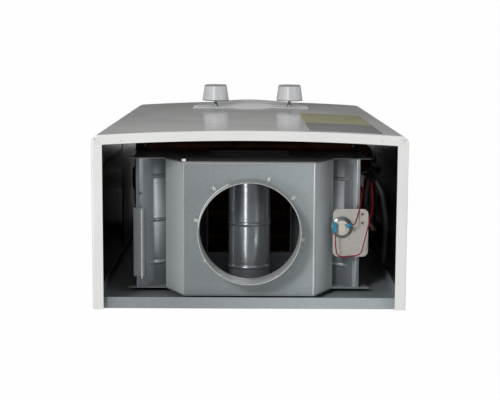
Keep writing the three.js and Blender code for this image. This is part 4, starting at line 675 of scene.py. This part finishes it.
# Draught hood
def flue_collar():
    """Collar: a thin tube with a rolled lip and a painted glint along a seam, and eight tabs bent out on to
    the top plate, each cut back by 0.09 t^2 at t across its end, with a hollow rivet whose head is a painted
    glint and two tips painted as highlights."""
    bore, foot, half_wall = FLUE_RADIUS - FLUE_WALL, HOOD_TOP + 0.3, FLUE_WALL / 2
    lip = arc(FLUE_RADIUS - half_wall, COLLAR_LIP_Z, half_wall, np.pi, 7)
    profile = np.vstack([[[bore, foot], [FLUE_RADIUS, foot]], lip, [[bore, foot]]])
    turned("collar_tube", profile, "z", (0, FLUE_Y), [collar_zinc], sides=128, stands_for=["flue_collar"])
    turn = np.radians(np.linspace(-66, -6, 31))
    seam_radius, seam_z = COLLAR_SEAM
    seam = grid(seam_radius * np.cos(turn), FLUE_Y + seam_radius * np.sin(turn), seam_z)
    tube("collar_seam_glint", seam, 0.42, 1, [white_zinc_glint], sides=8)
    root, end, tab_z = FLUE_RADIUS - 0.3, FLUE_RADIUS + 4.6, HOOD_TOP + 0.5
    line = bent([(root, HOOD_TOP + 3.2), (root, tab_z), (end, tab_z)], 1.0, 6)
    hole, dome, base = 0.65, (0.95, 0.75), tab_z + 0.1
    head = np.vstack([[[hole, base], [hole + dome[0], base]], arc(hole, base, dome), [[hole, base]]])
    core = [[0, tab_z], [hole + 0.05, tab_z], [hole + 0.05, tab_z + 0.4], [0, tab_z + 0.4]]
    for i, degrees in enumerate(COLLAR_RIVETS):
        angle = math.radians(degrees)
        out = np.array([math.cos(angle), math.sin(angle)])
        side = np.array([-out[1], out[0]])
        across = np.linspace(-3.2, 3.2, 7)
        reach = line[:, :1] + np.where(line[:, :1] > 57, -0.09 * across ** 2, 0)
        flat = reach[..., None] * out + across[:, None] * side + [0, FLUE_Y]
        points = grid(flat[..., 0], flat[..., 1], line[:, 1:])
        sheet(f"collar_tab_{i + 1}", points, quads(*points.shape[:2])[:, ::-1], 0.25, [galvanised])
        middle = out * RIVET_RING + [0, FLUE_Y]
        turned(f"collar_rivet_{i + 1}", head, "z", middle, [white_zinc_glint], sides=20)
        turned(f"collar_rivet_core_{i + 1}", core, "z", middle, [browned_copper], sides=12)
        for number, lean in enumerate((-1.5, 1.5)):
            tip = np.array(strip(out * 58.8, out * 61.2 + side * lean, 0.45)) + [0, FLUE_Y]
            place(f"collar_tab_glint_{i + 1}_{number + 1}", *prism(tip, HOOD_TOP + 0.3, HOOD_TOP + 0.8),
                  [bright_edge_glint])


flue_collar()


def shell_finish(x, y, z, layer):
    """Plain zinc on top, a painted highlight on the left fold, a dimmer painted highlight on the right fold
    and the front edge, and painted lighter on the slopes and inside."""
    fold = (np.abs(np.abs(x) - HOOD_TOP_HALF) < 1.2) & (layer == 0)
    bright = fold & (x < 0) & (x > FOLD_GLINT_X[0])
    edge = (layer != 1) & (y < HOOD_FRONT_EDGE) & (z > HOOD_TOP - 1.2)
    dim_glint = edge | (fold & (np.abs(x - HOOD_TOP_HALF) < 0.7))
    lit_slope = (layer == 1) | ((layer == 0) & (z < HOOD_TOP - 1.6))
    return np.where(bright, 1, np.where(dim_glint, 2, np.where(lit_slope, 3, 0)))


def hood_shell():
    """Top plate and two sloping sides as one folded line carried along y, with the flue hole opened in it, a
    tab at one corner painted white as a glint, and a painted glint along the left fold."""
    line = bent([(HOOD_SKIRT_HALF, HOOD_SKIRT_Z), (HOOD_TOP_HALF, HOOD_TOP), (-HOOD_TOP_HALF, HOOD_TOP),
                 (-HOOD_SKIRT_HALF, HOOD_SKIRT_Z)], 1.6, 6)
    reach, block = 69.0, 45.0
    flat = grid(-stations((-reach, -block, 3), (-block, block, 3), (block, reach, 3)), HOOD_TOP, 0)[:, :2]
    first = np.argmax(line[:, 1] > HOOD_TOP - 1e-6)
    last = len(line) - np.argmax(line[::-1, 1] > HOOD_TOP - 1e-6)
    flat = flat[np.abs(flat[:, 0]) < abs(line[first, 0]) - 0.2]
    line = np.vstack([line[:first + 1], flat, line[last - 1:]])
    y = stations((HOOD_FRONT, HOOD_FRONT_EDGE, 0.8), (HOOD_FRONT_EDGE, -125, 3), (-125, -35, 3),
                 (-35, HOOD_BACK, 3))
    points = grid(line[:, :1], y, line[:, 1:])
    inside = open_hole(points, 0, 1, (0, FLUE_Y), FLUE_RADIUS - FLUE_WALL, block, reach)
    faces = keep_outside(quads(*points.shape[:2])[:, ::-1], inside)
    sheet("hood_top_plate", points, faces, HOOD_WALL,
          [galvanised, bright_edge_glint, dim_edge_glint, lit_galvanised], shell_finish, stands_for=["hood_shell"])
    # The corner tab's white is a painted glint.
    tab = boxes([[68.7, -156.2, HOOD_TOP - 1.1]], [[72.9, -153.5, HOOD_TOP + 0.5]])
    place("hood_corner_tab_glint", *tab, [white_enamel])
    start, end = FOLD_GLINT_X
    fold_line = boxes([[start, HOOD_FRONT + 0.2, HOOD_TOP - 0.1]],
                      [[end, HOOD_BACK - 0.2, HOOD_TOP + 0.15]])
    place("hood_fold_glint", *fold_line, [white_zinc_glint])


hood_shell()


def hood_end_sheet(name, node, y, panel_rise, material):
    """Front or back sheet: inner columns keep to the sloping sides' width, outer columns reach the shoulder,
    and a panel of half-sizes PRESSED_HALF with corners of PRESSED_CORNER is proud by panel_rise, its edge
    eased as 3 s^2 - 2 s^3 over PRESSED_EASE."""
    z = stations((HOOD_FOOT, HOOD_SKIRT_Z, 2.2), (HOOD_SKIRT_Z, HOOD_TOP, 3))
    inner = np.interp(z, [HOOD_SKIRT_Z, HOOD_TOP], [HOOD_SKIRT_HALF, HOOD_TOP_HALF])
    outer = np.interp(z, [SHOULDER_FOOT, HOOD_SKIRT_Z], SHOULDER_HALF)
    core, wide = np.linspace(-1, 1, 85), np.linspace(0, 1, 9)[1:]
    x = np.hstack([-(inner + (outer - inner) * wide[::-1, None]).T, (inner * core[:, None]).T,
                   (inner + (outer - inner) * wide[:, None]).T])
    dx = np.abs(x) - (PRESSED_HALF[0] - PRESSED_CORNER)
    dz = np.abs(z - PRESSED_MIDDLE_Z)[:, None] - (PRESSED_HALF[1] - PRESSED_CORNER)
    edge = np.hypot(np.clip(dx, 0, None), np.clip(dz, 0, None)) + np.minimum(np.maximum(dx, dz), 0)
    rise = np.clip(0.5 - (edge - PRESSED_CORNER) / PRESSED_EASE, 0, 1)
    faces = quads(*x.shape)
    column, row = faces[:, 0] % x.shape[1], faces[:, 0] // x.shape[1]
    outside = (column < len(wide)) | (column >= x.shape[1] - len(wide) - 1)
    faces = faces[~(outside & (z[row] >= HOOD_SKIRT_Z - 1e-6))][:, ::-1]
    sheet(name, grid(x, y - panel_rise * rise ** 2 * (3 - 2 * rise), z[:, None]), faces, HOOD_WALL,
          [material], stands_for=[node])


hood_end_sheet("hood_front_plate", "hood_front_sheet", FRONT_SHEET_Y, PRESSED_RISE, dull_galvanised)
hood_end_sheet("hood_back_plate", "hood_back_sheet", BACK_SHEET_Y, 0.0, galvanised)
# A thin bead across the front sheet, its colour a painted highlight.
bead_end, bead_y = PRESSED_HALF[0], FRONT_SHEET_Y - PRESSED_RISE
tube("hood_front_bead", [(-bead_end, bead_y, FRONT_BEAD_Z), (bead_end, bead_y, FRONT_BEAD_Z)], 0.65, 1,
     [bright_edge_glint], sides=12)


def beaded(line, y, height, fade, shift=0.0):
    """Sheet carried along y whose points move out along the line's normal by height cos^2(pi d / 2 h) at d
    from a bead of half-width h, faded out towards the line's ends. Shift moves the beads along y."""
    along = np.gradient(line, axis=0)
    along /= np.linalg.norm(along, axis=1, keepdims=True)
    normal = np.stack([-along[:, 1], along[:, 0]], -1)
    y = y + shift * np.clip(np.minimum(y - HOOD_FRONT, HOOD_BACK - y) / 15, 0, 1)
    gap = np.abs(y[:, None] - shift - np.array(BEADS)).min(axis=1)
    bead = np.where(gap < BEAD_HALF, np.cos(np.pi * gap / BEAD_HALF / 2) ** 2, 0) * height
    flat = line[:, None] + normal[:, None] * (fade[:, None] * bead)[..., None]
    return grid(flat[..., 0], y, flat[..., 1])


BEAD_Y = stations((HOOD_FRONT, -132, 4), (-132, -126, 0.5), (-126, -83, 4), (-83, -77, 0.5), (-77, -34, 4),
                  (-34, -28, 0.5), (-28, HOOD_BACK, 4))


def wing(name, node, side, rim_x, bead_shift, strip_x):
    """Wing: the quadratic curve from the rim through its control point to the throat, with three beads and a
    strip along the rim that is rolled proud by 0.8 cos^2 between the two places strip_x, and left matt."""
    t = np.unique(np.concatenate([np.linspace(0, 0.16, 25), np.linspace(0.16, 1, 36)]))[:, None]
    rim, pull, foot = (np.array(p) for p in ((rim_x, HOOD_SKIRT_Z), WING_PULL, (THROAT_HALF, HOOD_FOOT)))
    line = (1 - t) ** 2 * rim + 2 * t * (1 - t) * pull + t ** 2 * foot
    middle, half = (strip_x[0] + strip_x[1]) / 2, (strip_x[1] - strip_x[0]) / 2
    line[:, 1] += 0.8 * np.where(np.abs(line[:, 0] - middle) < half,
                                 np.cos(np.pi * (line[:, 0] - middle) / half / 2) ** 2, 0)
    fade = np.clip(np.minimum((t - 0.1) * 20, (1 - t) * 12)[:, 0], 0, 1)
    points = beaded(line, BEAD_Y, -0.8, fade, bead_shift) * [side, 1, 1]
    faces = quads(*points.shape[:2])
    faces = faces if side < 0 else faces[:, ::-1]

    def matt_strip(x, y, z, layer):
        """The strip's outer face is matt zinc, the rest is bright."""
        return ((layer == 0) & (np.abs(x) > strip_x[0]) & (np.abs(x) < strip_x[1])).astype(int)

    sheet(name, points, faces, HOOD_WALL, [bright_galvanised, galvanised], matt_strip, stands_for=[node])


wing("wing_sheet_left", "left_wing", -1, 122.6, 0.0, (115.4, 119.6))
wing("wing_sheet_right", "right_wing", 1, 126.0, -2.4, (122.6, 126.1))
# Painted shade: a black disc for a hole in the wing's rim.
turned("wing_rim_hole_shade", [[0, 189.6], [1.1, 189.6], [1.1, 191.2], [0, 191.2]], "z", (120.7, -113.1),
       [black_abs], sides=16)
# A painted highlight along the hood bracket's edge.
place("hood_bracket_glint", *boxes([[118.1, -97.4, 205.9]], [[119.3, -20.2, 206.12]]), [bright_edge_glint])


def draught_baffle():
    """Baffle: two straight skirts and half a circle of BAFFLE_RADIUS between, with three beads round."""
    arch = arc(0, BAFFLE_CENTRE_Z, BAFFLE_RADIUS, np.pi, 49)
    steps = np.linspace(BAFFLE_CENTRE_Z - BAFFLE_SKIRT, BAFFLE_CENTRE_Z - 1, 8)
    skirt = np.stack([np.full(8, BAFFLE_RADIUS), steps], -1)
    line = np.vstack([skirt, arch, skirt[::-1] * [-1, 1]])
    fade = np.clip(np.minimum(np.arange(len(line)), np.arange(len(line))[::-1]) / 3, 0, 1)
    points = beaded(line, BEAD_Y, -1.2, fade)
    sheet("baffle_sheet", points, quads(*points.shape[:2]), HOOD_WALL, [bright_galvanised],
          stands_for=["draught_baffle"])


draught_baffle()


# Heat exchanger and pipes
def fin_block():
    """Fins of FIN_HALF to each side every FIN_PITCH between two end plates, on four straight tubes that
    three bends join to one run."""
    x, (near, out) = np.arange(*FIN_SPAN, FIN_PITCH), END_PLATE
    lows = np.vstack([grid(x - FIN_HALF, FIN_FRONT, FIN_FOOT), grid([-out, near], FIN_FRONT, FIN_FOOT)])
    highs = np.vstack([grid(x + FIN_HALF, FIN_BACK, FIN_TOP), grid([-near, out], FIN_BACK, END_PLATE_TOP)])
    place("exchanger_fins", *boxes(lows, highs), [fin_copper], stands_for=["fin_block"], slot="copper")
    rows = [TUBE_FIRST_Y + row * TUBE_PITCH for row in range(4)]
    for row, y in enumerate(rows):
        tube(f"exchanger_tube_{row + 1}", [(-TUBE_HALF, y, TUBE_Z), (TUBE_HALF, y, TUBE_Z)], TUBE_RADIUS, 5,
             [browned_copper], slot="copper")
    for row, (y, next_y) in enumerate(zip(rows, rows[1:])):
        near, out = (BEND_NEAR, BEND_OUT) if row % 2 == 0 else (-BEND_NEAR, -BEND_OUT)
        route = [(near, y, TUBE_Z), (out, y, TUBE_Z), (out, next_y, TUBE_Z), (near, next_y, TUBE_Z)]
        tube(f"return_bend_{row + 1}_pipe", route, TUBE_RADIUS, 13.5, [browned_copper],
             stands_for=[f"return_bend_{row + 1}"], slot="copper")


fin_block()


def burner_air_plates():
    """Strips that close the floor of the burner between its bars."""
    sides = np.repeat(BURNER_BARS, 2) + np.tile([-BAR_HALF, BAR_HALF], 6)
    edges = np.concatenate([[-BURNER_HALF], sides, [BURNER_HALF]])
    (front, back), (foot, top) = BURNER_Y, AIR_PLATE_Z
    place("burner_air_plate", *boxes(grid(edges[::2], front, foot), grid(edges[1::2], back, top)),
          [sooted_steel], slot="stainless")


burner_air_plates()


def stay_brackets():
    """Two blackened stays from the hood's front sheet forward over the ends of the coil's front run."""
    screw = [[0, 99.7], [2, 99.7], [2, 100.6], [1.4, 101.2], [0, 101.2]]
    for side, name, near, far in ((1, "right", 120.4, 134.0), (-1, "left", 119.6, 128.6)):
        points, faces = boxes([[near, -176, 98.6], [near, -154.5, 98.6]],
                              [[far, -153.5, 99.8], [far, -153.5, 116]])
        place(f"stay_bracket_{name}", points * [side, 1, 1], faces[:, ::side], [sooted_steel])
        turned(f"stay_screw_{name}", screw, "z", (side * (near + 2.2), -159), [stainless], sides=20)


stay_brackets()


def small_hardware():
    """Screws of the cover's sides with black boxes of painted shade for their slots, pipe threads, and dark
    boxes of painted shade for the ports of the burner bars.
    """
    head = np.vstack([[[0, -0.3], [SCREW_RADIUS, -0.3]], arc(0, 0, (SCREW_RADIUS, SCREW_HEAD), count=6)])
    for number, (side, z) in enumerate([(1, SCREW_Z), (1, -SCREW_Z), (-1, SCREW_Z), (-1, -SCREW_Z)]):
        profile = head * [1, side] + [0, side * CASE_HALF_WIDTH]
        turned(f"cover_screw_{number + 1}", profile, "x", (SCREW_Y, z), [stainless], sides=28, slot="enamel")
        x = side * (CASE_HALF_WIDTH + 0.4)
        # Painted shade: a black box in the screw's head for its slot.
        slot_box = boxes([[x - 0.4, SCREW_Y - 2, z - 0.4]], [[x + 0.52, SCREW_Y + 2, z + 0.4]])
        place(f"cover_screw_slot_shade_{number + 1}", *slot_box, [black_abs], slot="enamel")
    z, core = np.arange(*THREAD_SPAN, THREAD_STEP), 9.6
    for name, x in STUBS.items():
        ridge = np.stack([np.where(np.arange(len(z)) % 2, *THREAD_RADII[::-1]), z], -1)
        profile = np.vstack([[[core, z[0]]], ridge, [[core, z[-1]], [core, z[0]]]])
        turned(f"{name}_thread", profile, "z", (x, STUB_Y), [forged_brass], sides=64, slot="brass")
    # Painted shade: dark boxes on the burner bars for their ports.
    x, y = (a.ravel() for a in np.meshgrid(BURNER_BARS, np.arange(*PORT_SPAN, PORT_PITCH), indexing="ij"))
    (wide, deep), (foot, top) = PORT_HALF, PORT_Z
    place("burner_port_slot_shade", *boxes(grid(x - wide, y - deep, foot), grid(x + wide, y + deep, top)),
          [sooted_steel], slot="stainless")


small_hardware()


def coil_route():
    """Corner points of the coil: up from the water valve, two climbing turns round the chamber, then across
    the front and into the first tube. The turns start and rise by shares of the chamber's height."""
    side, front, back, chamber_foot, chamber_height = COIL_SIDE, -156.8, -19.2, -74.3, 116
    start, rise = chamber_foot + chamber_height * 0.1638, chamber_height * 0.1724
    quarter, valve_x, valve_z, last_x = rise / 4, 78.3, -165, -141
    points = [(valve_x, STUB_Y, valve_z), (side, STUB_Y, valve_z), (side, STUB_Y, start)]
    for turn in range(2):
        foot = start + turn * rise + quarter
        points += [(side, front, foot), (-side, front, foot + quarter), (-side, back, foot + quarter * 2),
                   (side, back, foot + quarter * 3)]
    return points + [(side, back, COIL_TOP_Z), (side, front, COIL_TOP_Z), (last_x, front, COIL_TOP_Z),
                     (last_x, TUBE_FIRST_Y, TUBE_Z), (-BEND_NEAR, TUBE_FIRST_Y, TUBE_Z)]


# The coil's darker copper is painted shade.
tube("coil_tube", coil_route(), PIPE_RADIUS, 18.8, [shaded_copper], stands_for=["coil_pipe"], slot="copper")
# A painted sheen: a lighter copper skin laid over the coil's top run.
tube("coil_sheen_run", [(COIL_SIDE, -46, COIL_TOP_Z), (COIL_SIDE, -128, COIL_TOP_Z)], PIPE_RADIUS + 0.12, 5,
     [sheen_copper], slot="copper")
tube("hot_tube", [(-BEND_NEAR, HOT_PIPE_Y, TUBE_Z), (HOT_PIPE_X, HOT_PIPE_Y, TUBE_Z),
                  (HOT_PIPE_X, HOT_PIPE_Y, -231), (STUBS["hot"], STUB_Y, -231),
                  (STUBS["hot"], STUB_Y, -246)], PIPE_RADIUS, 14, [browned_copper],
     stands_for=["hot_pipe"], slot="copper")
tube("hot_stub", [(STUBS["hot"], STUB_Y, -244), (STUBS["hot"], STUB_Y, -300)], STUB_RADIUS, 5,
     [forged_brass], bore=8.0, slot="brass")


def flue_thermostat():
    """Disc thermostat: a polished flange with a rolled rim and a crimped lip, a glazed body with a chamfer,
    and two blades in nylon sleeves."""
    centre = (-101.6, -79.0)
    rim = [[8.2, 206.3], [12, 206.3], [12, 207.1], [11.8, 207.7], [11.3, 208.1], [10.8, 207.9],
           [10.5, 207.4], [9.9, 207.3], [9.6, 208.2], [9.2, 208.5], [8.8, 208.2], [8.2, 208.2], [8.2, 206.3]]
    turned("thermostat_flange", rim, "z", centre, [chrome], sides=96, slot="whiteCeramic")
    body = [[0, 200], [5.6, 200], [6, 200.4], [6, 206.2], [8.15, 206.2], [8.15, 213.6], [7.6, 214.4],
            [4.6, 214.6], [4.4, 216.2], [0, 216.4]]
    turned("thermostat_body", body, "z", centre, [cream_steatite], sides=96, stands_for=["flue_thermostat"],
           slot="whiteCeramic")
    place("thermostat_blades", *boxes([[-94.2, -84.2, 214.2], [-109.6, -83.6, 214.2]],
                                      [[-93.4, -78.2, 221], [-104.4, -82.8, 221]]), [stainless],
          slot="whiteCeramic")
    for number, (low, high) in enumerate([((-95.6, -86.2, 217.6), (-91.0, -74.6, 221.4)),
                                          ((-111.8, -84.9, 217.6), (-105.6, -80.4, 221.4))]):
        sleeve = place(f"blade_sleeve_{number + 1}", *boxes([low], [high]), [blue_nylon], slot="redWire")
        bevel = sleeve.modifiers.new("soft_edges", "BEVEL")
        bevel.width, bevel.segments = 1.4 * MM, 3
    for number, y in enumerate((-93.3, -83.6)):
        turned(f"bracket_screw_{number + 1}", [[0, 204.4], [1.6, 204.4], [1.6, 205.6], [0, 205.6]], "z",
               (-124.5, y), [dull_brass], sides=16)


flue_thermostat()


# Wiring
HARNESS_END = (-139, -131, 150)
LEAD_ROUTES = {
    "thermostat_lead_1": [(-106.5, -83.2, 219.6), (-115.2, -83.6, 219.9), (-120.1, -96, 208),
                          (-124.8, -112, 194), (-129.9, -127.5, 168), (-136.6, -132.5, 155),
                          (-137.4, -131.6, 150.6)],
    "thermostat_lead_2": [(-94.1, -74, 219.8), (-94.1, -61.5, 220.2), (-96, -48, 220.2), (-122, -50, 220.2),
                          (-131, -84, 212), (-137.3, -100, 192), (-137.8, -114, 178), (-137.8, -125, 162),
                          (-140.4, -131, 150.6)],
}
for lead_name, route in LEAD_ROUTES.items():
    tube(f"{lead_name}_wire", route, 0.7, 9, [red_silicone], sides=12, stands_for=[lead_name],
         slot="redWire")
tube("sleeve_tail", [HARNESS_END, (-134.5, -128, 163), (-131.6, -114, 171), (-131.2, -97, 170)], 3.5,
     12, [black_braid], sides=24, slot="blackSleeve")
turned("harness_tie", [[4.4, 140.5], [5.5, 140.5], [5.5, 143.5], [4.4, 143.5], [4.4, 140.5]], "z",
       (-139.6, -131), [black_abs], sides=32, slot="blackSleeve")
place("harness_tie_tail", *boxes([[-134.6, -132.2, 140.8], [-134.2, -131.6, 141]],
                                 [[-130.6, -128.8, 144.6], [-126.4, -130.2, 143]]), [black_abs],
      slot="blackSleeve")
tube("sleeve_tube", [HARNESS_END, (-139, -131, 137), (-151, -131, 106), (-151, -131, -196),
                     (-87, -131, -222), (-87, -26, -222), (-30.3, -26, -222)], 4.5, 14, [black_braid],
     stands_for=["harness_sleeve"], slot="blackSleeve")
tube("cable_tube", [(-144.6, -124, 146), (-152, -108, 150), (-157.5, -76, 148), (-157.5, -26, 130),
                    (-157.5, -22, -200), (-100, -18, -238), (-30.3, -18, -238)], 3.0, 14, [grey_pvc],
     sides=20, stands_for=["side_cable"], slot="greySheath")


# Floor, light and camera
# The card before the front is a painted shadow: the floor's shade as reflections would show it.
FLOOR_Z, SHADE_CARD_Z, CEILING_Z = -0.302, -0.3015, 3.2
FLOOR_GREY, FLOOR_GLOW, WORLD_LIGHT, CEILING_GLOW = 0.43, 0.985, 0.38, 0.2
FLOOR_HALF, CEILING_HALF, SHADE_CARD_HALF, SHADE_CARD_FRONT, SHADE_CARD_BACK = 6, 3.4, 0.4, -0.285, -0.186
SHADE_CARD_FADE, SHADE_CARD_GLOW, LAMP_AIM = (-0.192, -0.245), (0.097, 0.29), (0, -0.1, 0.2)


def emptied(owner):
    """The node tree of a material or world with its nodes cleared."""
    owner.use_nodes = True
    owner.node_tree.nodes.clear()
    return owner.node_tree


def seen_directly(tree):
    """1 for camera, glossy and transmission rays, 0 for the rays that light the object."""
    path = add(tree, "ShaderNodeLightPath")
    seen = path.outputs["Is Camera Ray"]
    for ray in ("Is Glossy Ray", "Is Transmission Ray"):
        either = add(tree, "ShaderNodeMath", links={0: seen, 1: path.outputs[ray]}, operation="MAXIMUM")
        seen = either.outputs[0]
    return seen


def rectangle(half, front, back, z):
    """Corners of a level rectangle that faces up, from -half to half in x and from front to back in y."""
    return [(-half, front, z), (half, front, z), (half, back, z), (-half, back, z)]


def stage_card(name, corners, material, gloss_only=False):
    """A flat card of four corners in metres that isn't part of the object, seen by gloss alone if so set."""
    mesh = bpy.data.meshes.new(name)
    mesh.from_pydata(corners, [], [[0, 1, 2, 3]])
    mesh.materials.append(material)
    card = linked(name, mesh)
    if gloss_only:
        card.visible_camera = card.visible_diffuse = card.visible_shadow = card.visible_transmission = False


def glow_card(name, corners, strength=1.0, level=None):
    """A stage card that only gloss sees, glowing white at strength, or at the level its tree works out."""
    material = bpy.data.materials.new(name.replace("studio", "glowing"))
    tree = emptied(material)
    glow = add(tree, "ShaderNodeEmission", {"Color": (1, 1, 1, 1), "Strength": strength})
    if level:
        tree.links.new(level(tree), glow.inputs["Strength"])
    add(tree, "ShaderNodeOutputMaterial", links={"Surface": glow.outputs[0]})
    stage_card(name, corners, material, gloss_only=True)


def shade_card_level(tree):
    """The card's glow: dim where it starts at the front and brighter towards its far edge, a painted shadow
    of the floor beside the front as reflections show it.
    """
    where = add(tree, "ShaderNodeTexCoord").outputs["Object"]
    along = add(tree, "ShaderNodeSeparateXYZ", links={0: where}).outputs["Y"]
    values = dict(enumerate((*SHADE_CARD_FADE, *SHADE_CARD_GLOW), 1))
    return add(tree, "ShaderNodeMapRange", values, {0: along}).outputs[0]


def studio():
    """Pale floor that the camera sees as white with the object's shadow kept, a card of painted shadow
    before the front and a dim ceiling over the lamps that only gloss sees, as the photo's sheet metal does,
    and a plain world."""
    material = bpy.data.materials.new("pale_studio_floor")
    material.use_nodes = True
    tree = material.node_tree
    bsdf, output = tree.nodes["Principled BSDF"], tree.nodes["Material Output"]
    for key, value in (("Base Color", (FLOOR_GREY, FLOOR_GREY, FLOOR_GREY, 1)), ("Roughness", 0.9),
                       ("Specular IOR Level", 0.0)):
        bsdf.inputs[key].default_value = value
    share = add(tree, "ShaderNodeMath", {1: FLOOR_GLOW}, {0: seen_directly(tree)}, operation="MULTIPLY")
    glow = add(tree, "ShaderNodeEmission", {"Color": (1, 1, 1, 1), "Strength": 1.0})
    mix = add(tree, "ShaderNodeMixShader", links={0: share.outputs[0], 1: bsdf.outputs[0],
                                                  2: glow.outputs[0]})
    tree.links.new(mix.outputs[0], output.inputs["Surface"])
    stage_card("studio_floor", rectangle(FLOOR_HALF, -FLOOR_HALF, FLOOR_HALF, FLOOR_Z), material)
    # Painted shadow: a card only gloss sees, standing for the floor's shade beside the front.
    glow_card("studio_cloth", rectangle(SHADE_CARD_HALF, SHADE_CARD_FRONT, SHADE_CARD_BACK, SHADE_CARD_Z), level=shade_card_level)
    corner, *others = rectangle(CEILING_HALF, -CEILING_HALF, CEILING_HALF, CEILING_Z)
    glow_card("studio_ceiling", [corner, *others[::-1]], CEILING_GLOW)
    world = bpy.context.scene.world or bpy.data.worlds.new("studio_world")
    bpy.context.scene.world = world
    tree = emptied(world)
    level = add(tree, "ShaderNodeMapRange", {3: WORLD_LIGHT, 4: 1.0}, {0: seen_directly(tree)}).outputs[0]
    background = add(tree, "ShaderNodeBackground", {"Color": (1, 1, 1, 1)}, {"Strength": level})
    add(tree, "ShaderNodeOutputWorld", links={"Surface": background.outputs[0]})


def softbox(name, place_at, size, watts):
    """A square area lamp that looks from one point at LAMP_AIM."""
    lamp = bpy.data.lights.new(name, "AREA")
    lamp.shape, lamp.size, lamp.energy = "SQUARE", size, watts
    back = np.subtract(place_at, LAMP_AIM)
    back = back / np.linalg.norm(back)
    side = np.cross([0, 1, 0.01], back)
    side /= np.linalg.norm(side)
    holder = linked(name, lamp)
    holder.matrix_world = pose(side, np.cross(back, side), back, place_at)
    holder.visible_camera = False


def pose(right, up, back, place_at):
    """The matrix of a camera or lamp from its three directions and its place in metres."""
    made = np.eye(4)
    made[:3] = np.stack([right, up, back, place_at], -1)
    return Matrix(made.tolist())


def spun(angle, one, two):
    """The matrix that turns axis one towards axis two by an angle."""
    made = np.eye(3)
    made[one, one] = made[two, two] = math.cos(angle)
    made[two, one], made[one, two] = math.sin(angle), -math.sin(angle)
    return made


def camera():
    """Turn = roll x turn x tilt of a camera that looks straight down, image up along -Y."""
    down = np.diag([-1.0, 1.0, -1.0])
    right, below, ahead = spun(CAMERA_ROLL, 0, 1) @ spun(CAMERA_TURN, 0, 2) @ spun(CAMERA_TILT, 1, 2) @ down
    data = bpy.data.cameras.new("camera")
    data.lens, data.sensor_width, data.sensor_fit = CAMERA_LENS, SENSOR_WIDTH, "HORIZONTAL"
    data.clip_start, data.clip_end = 0.05, 60
    holder = linked("camera", data)
    holder.matrix_world = pose(right, -below, -ahead, CAMERA_PLACE * MM)
    bpy.context.scene.camera = holder


studio()
softbox("overhead_softbox", (0.75, -0.95, 2.2), 0.4, 18)
softbox("streak_softbox", (0.81, 0.15, 2.3), 0.36, 3.3)
softbox("window_softbox", (2.1, -0.5, 1.85), 1.1, 13)
softbox("side_softbox", (-1.95, -0.3, 1.6), 0.9, 11)
camera()
bpy.context.scene.view_settings.view_transform = "Standard"
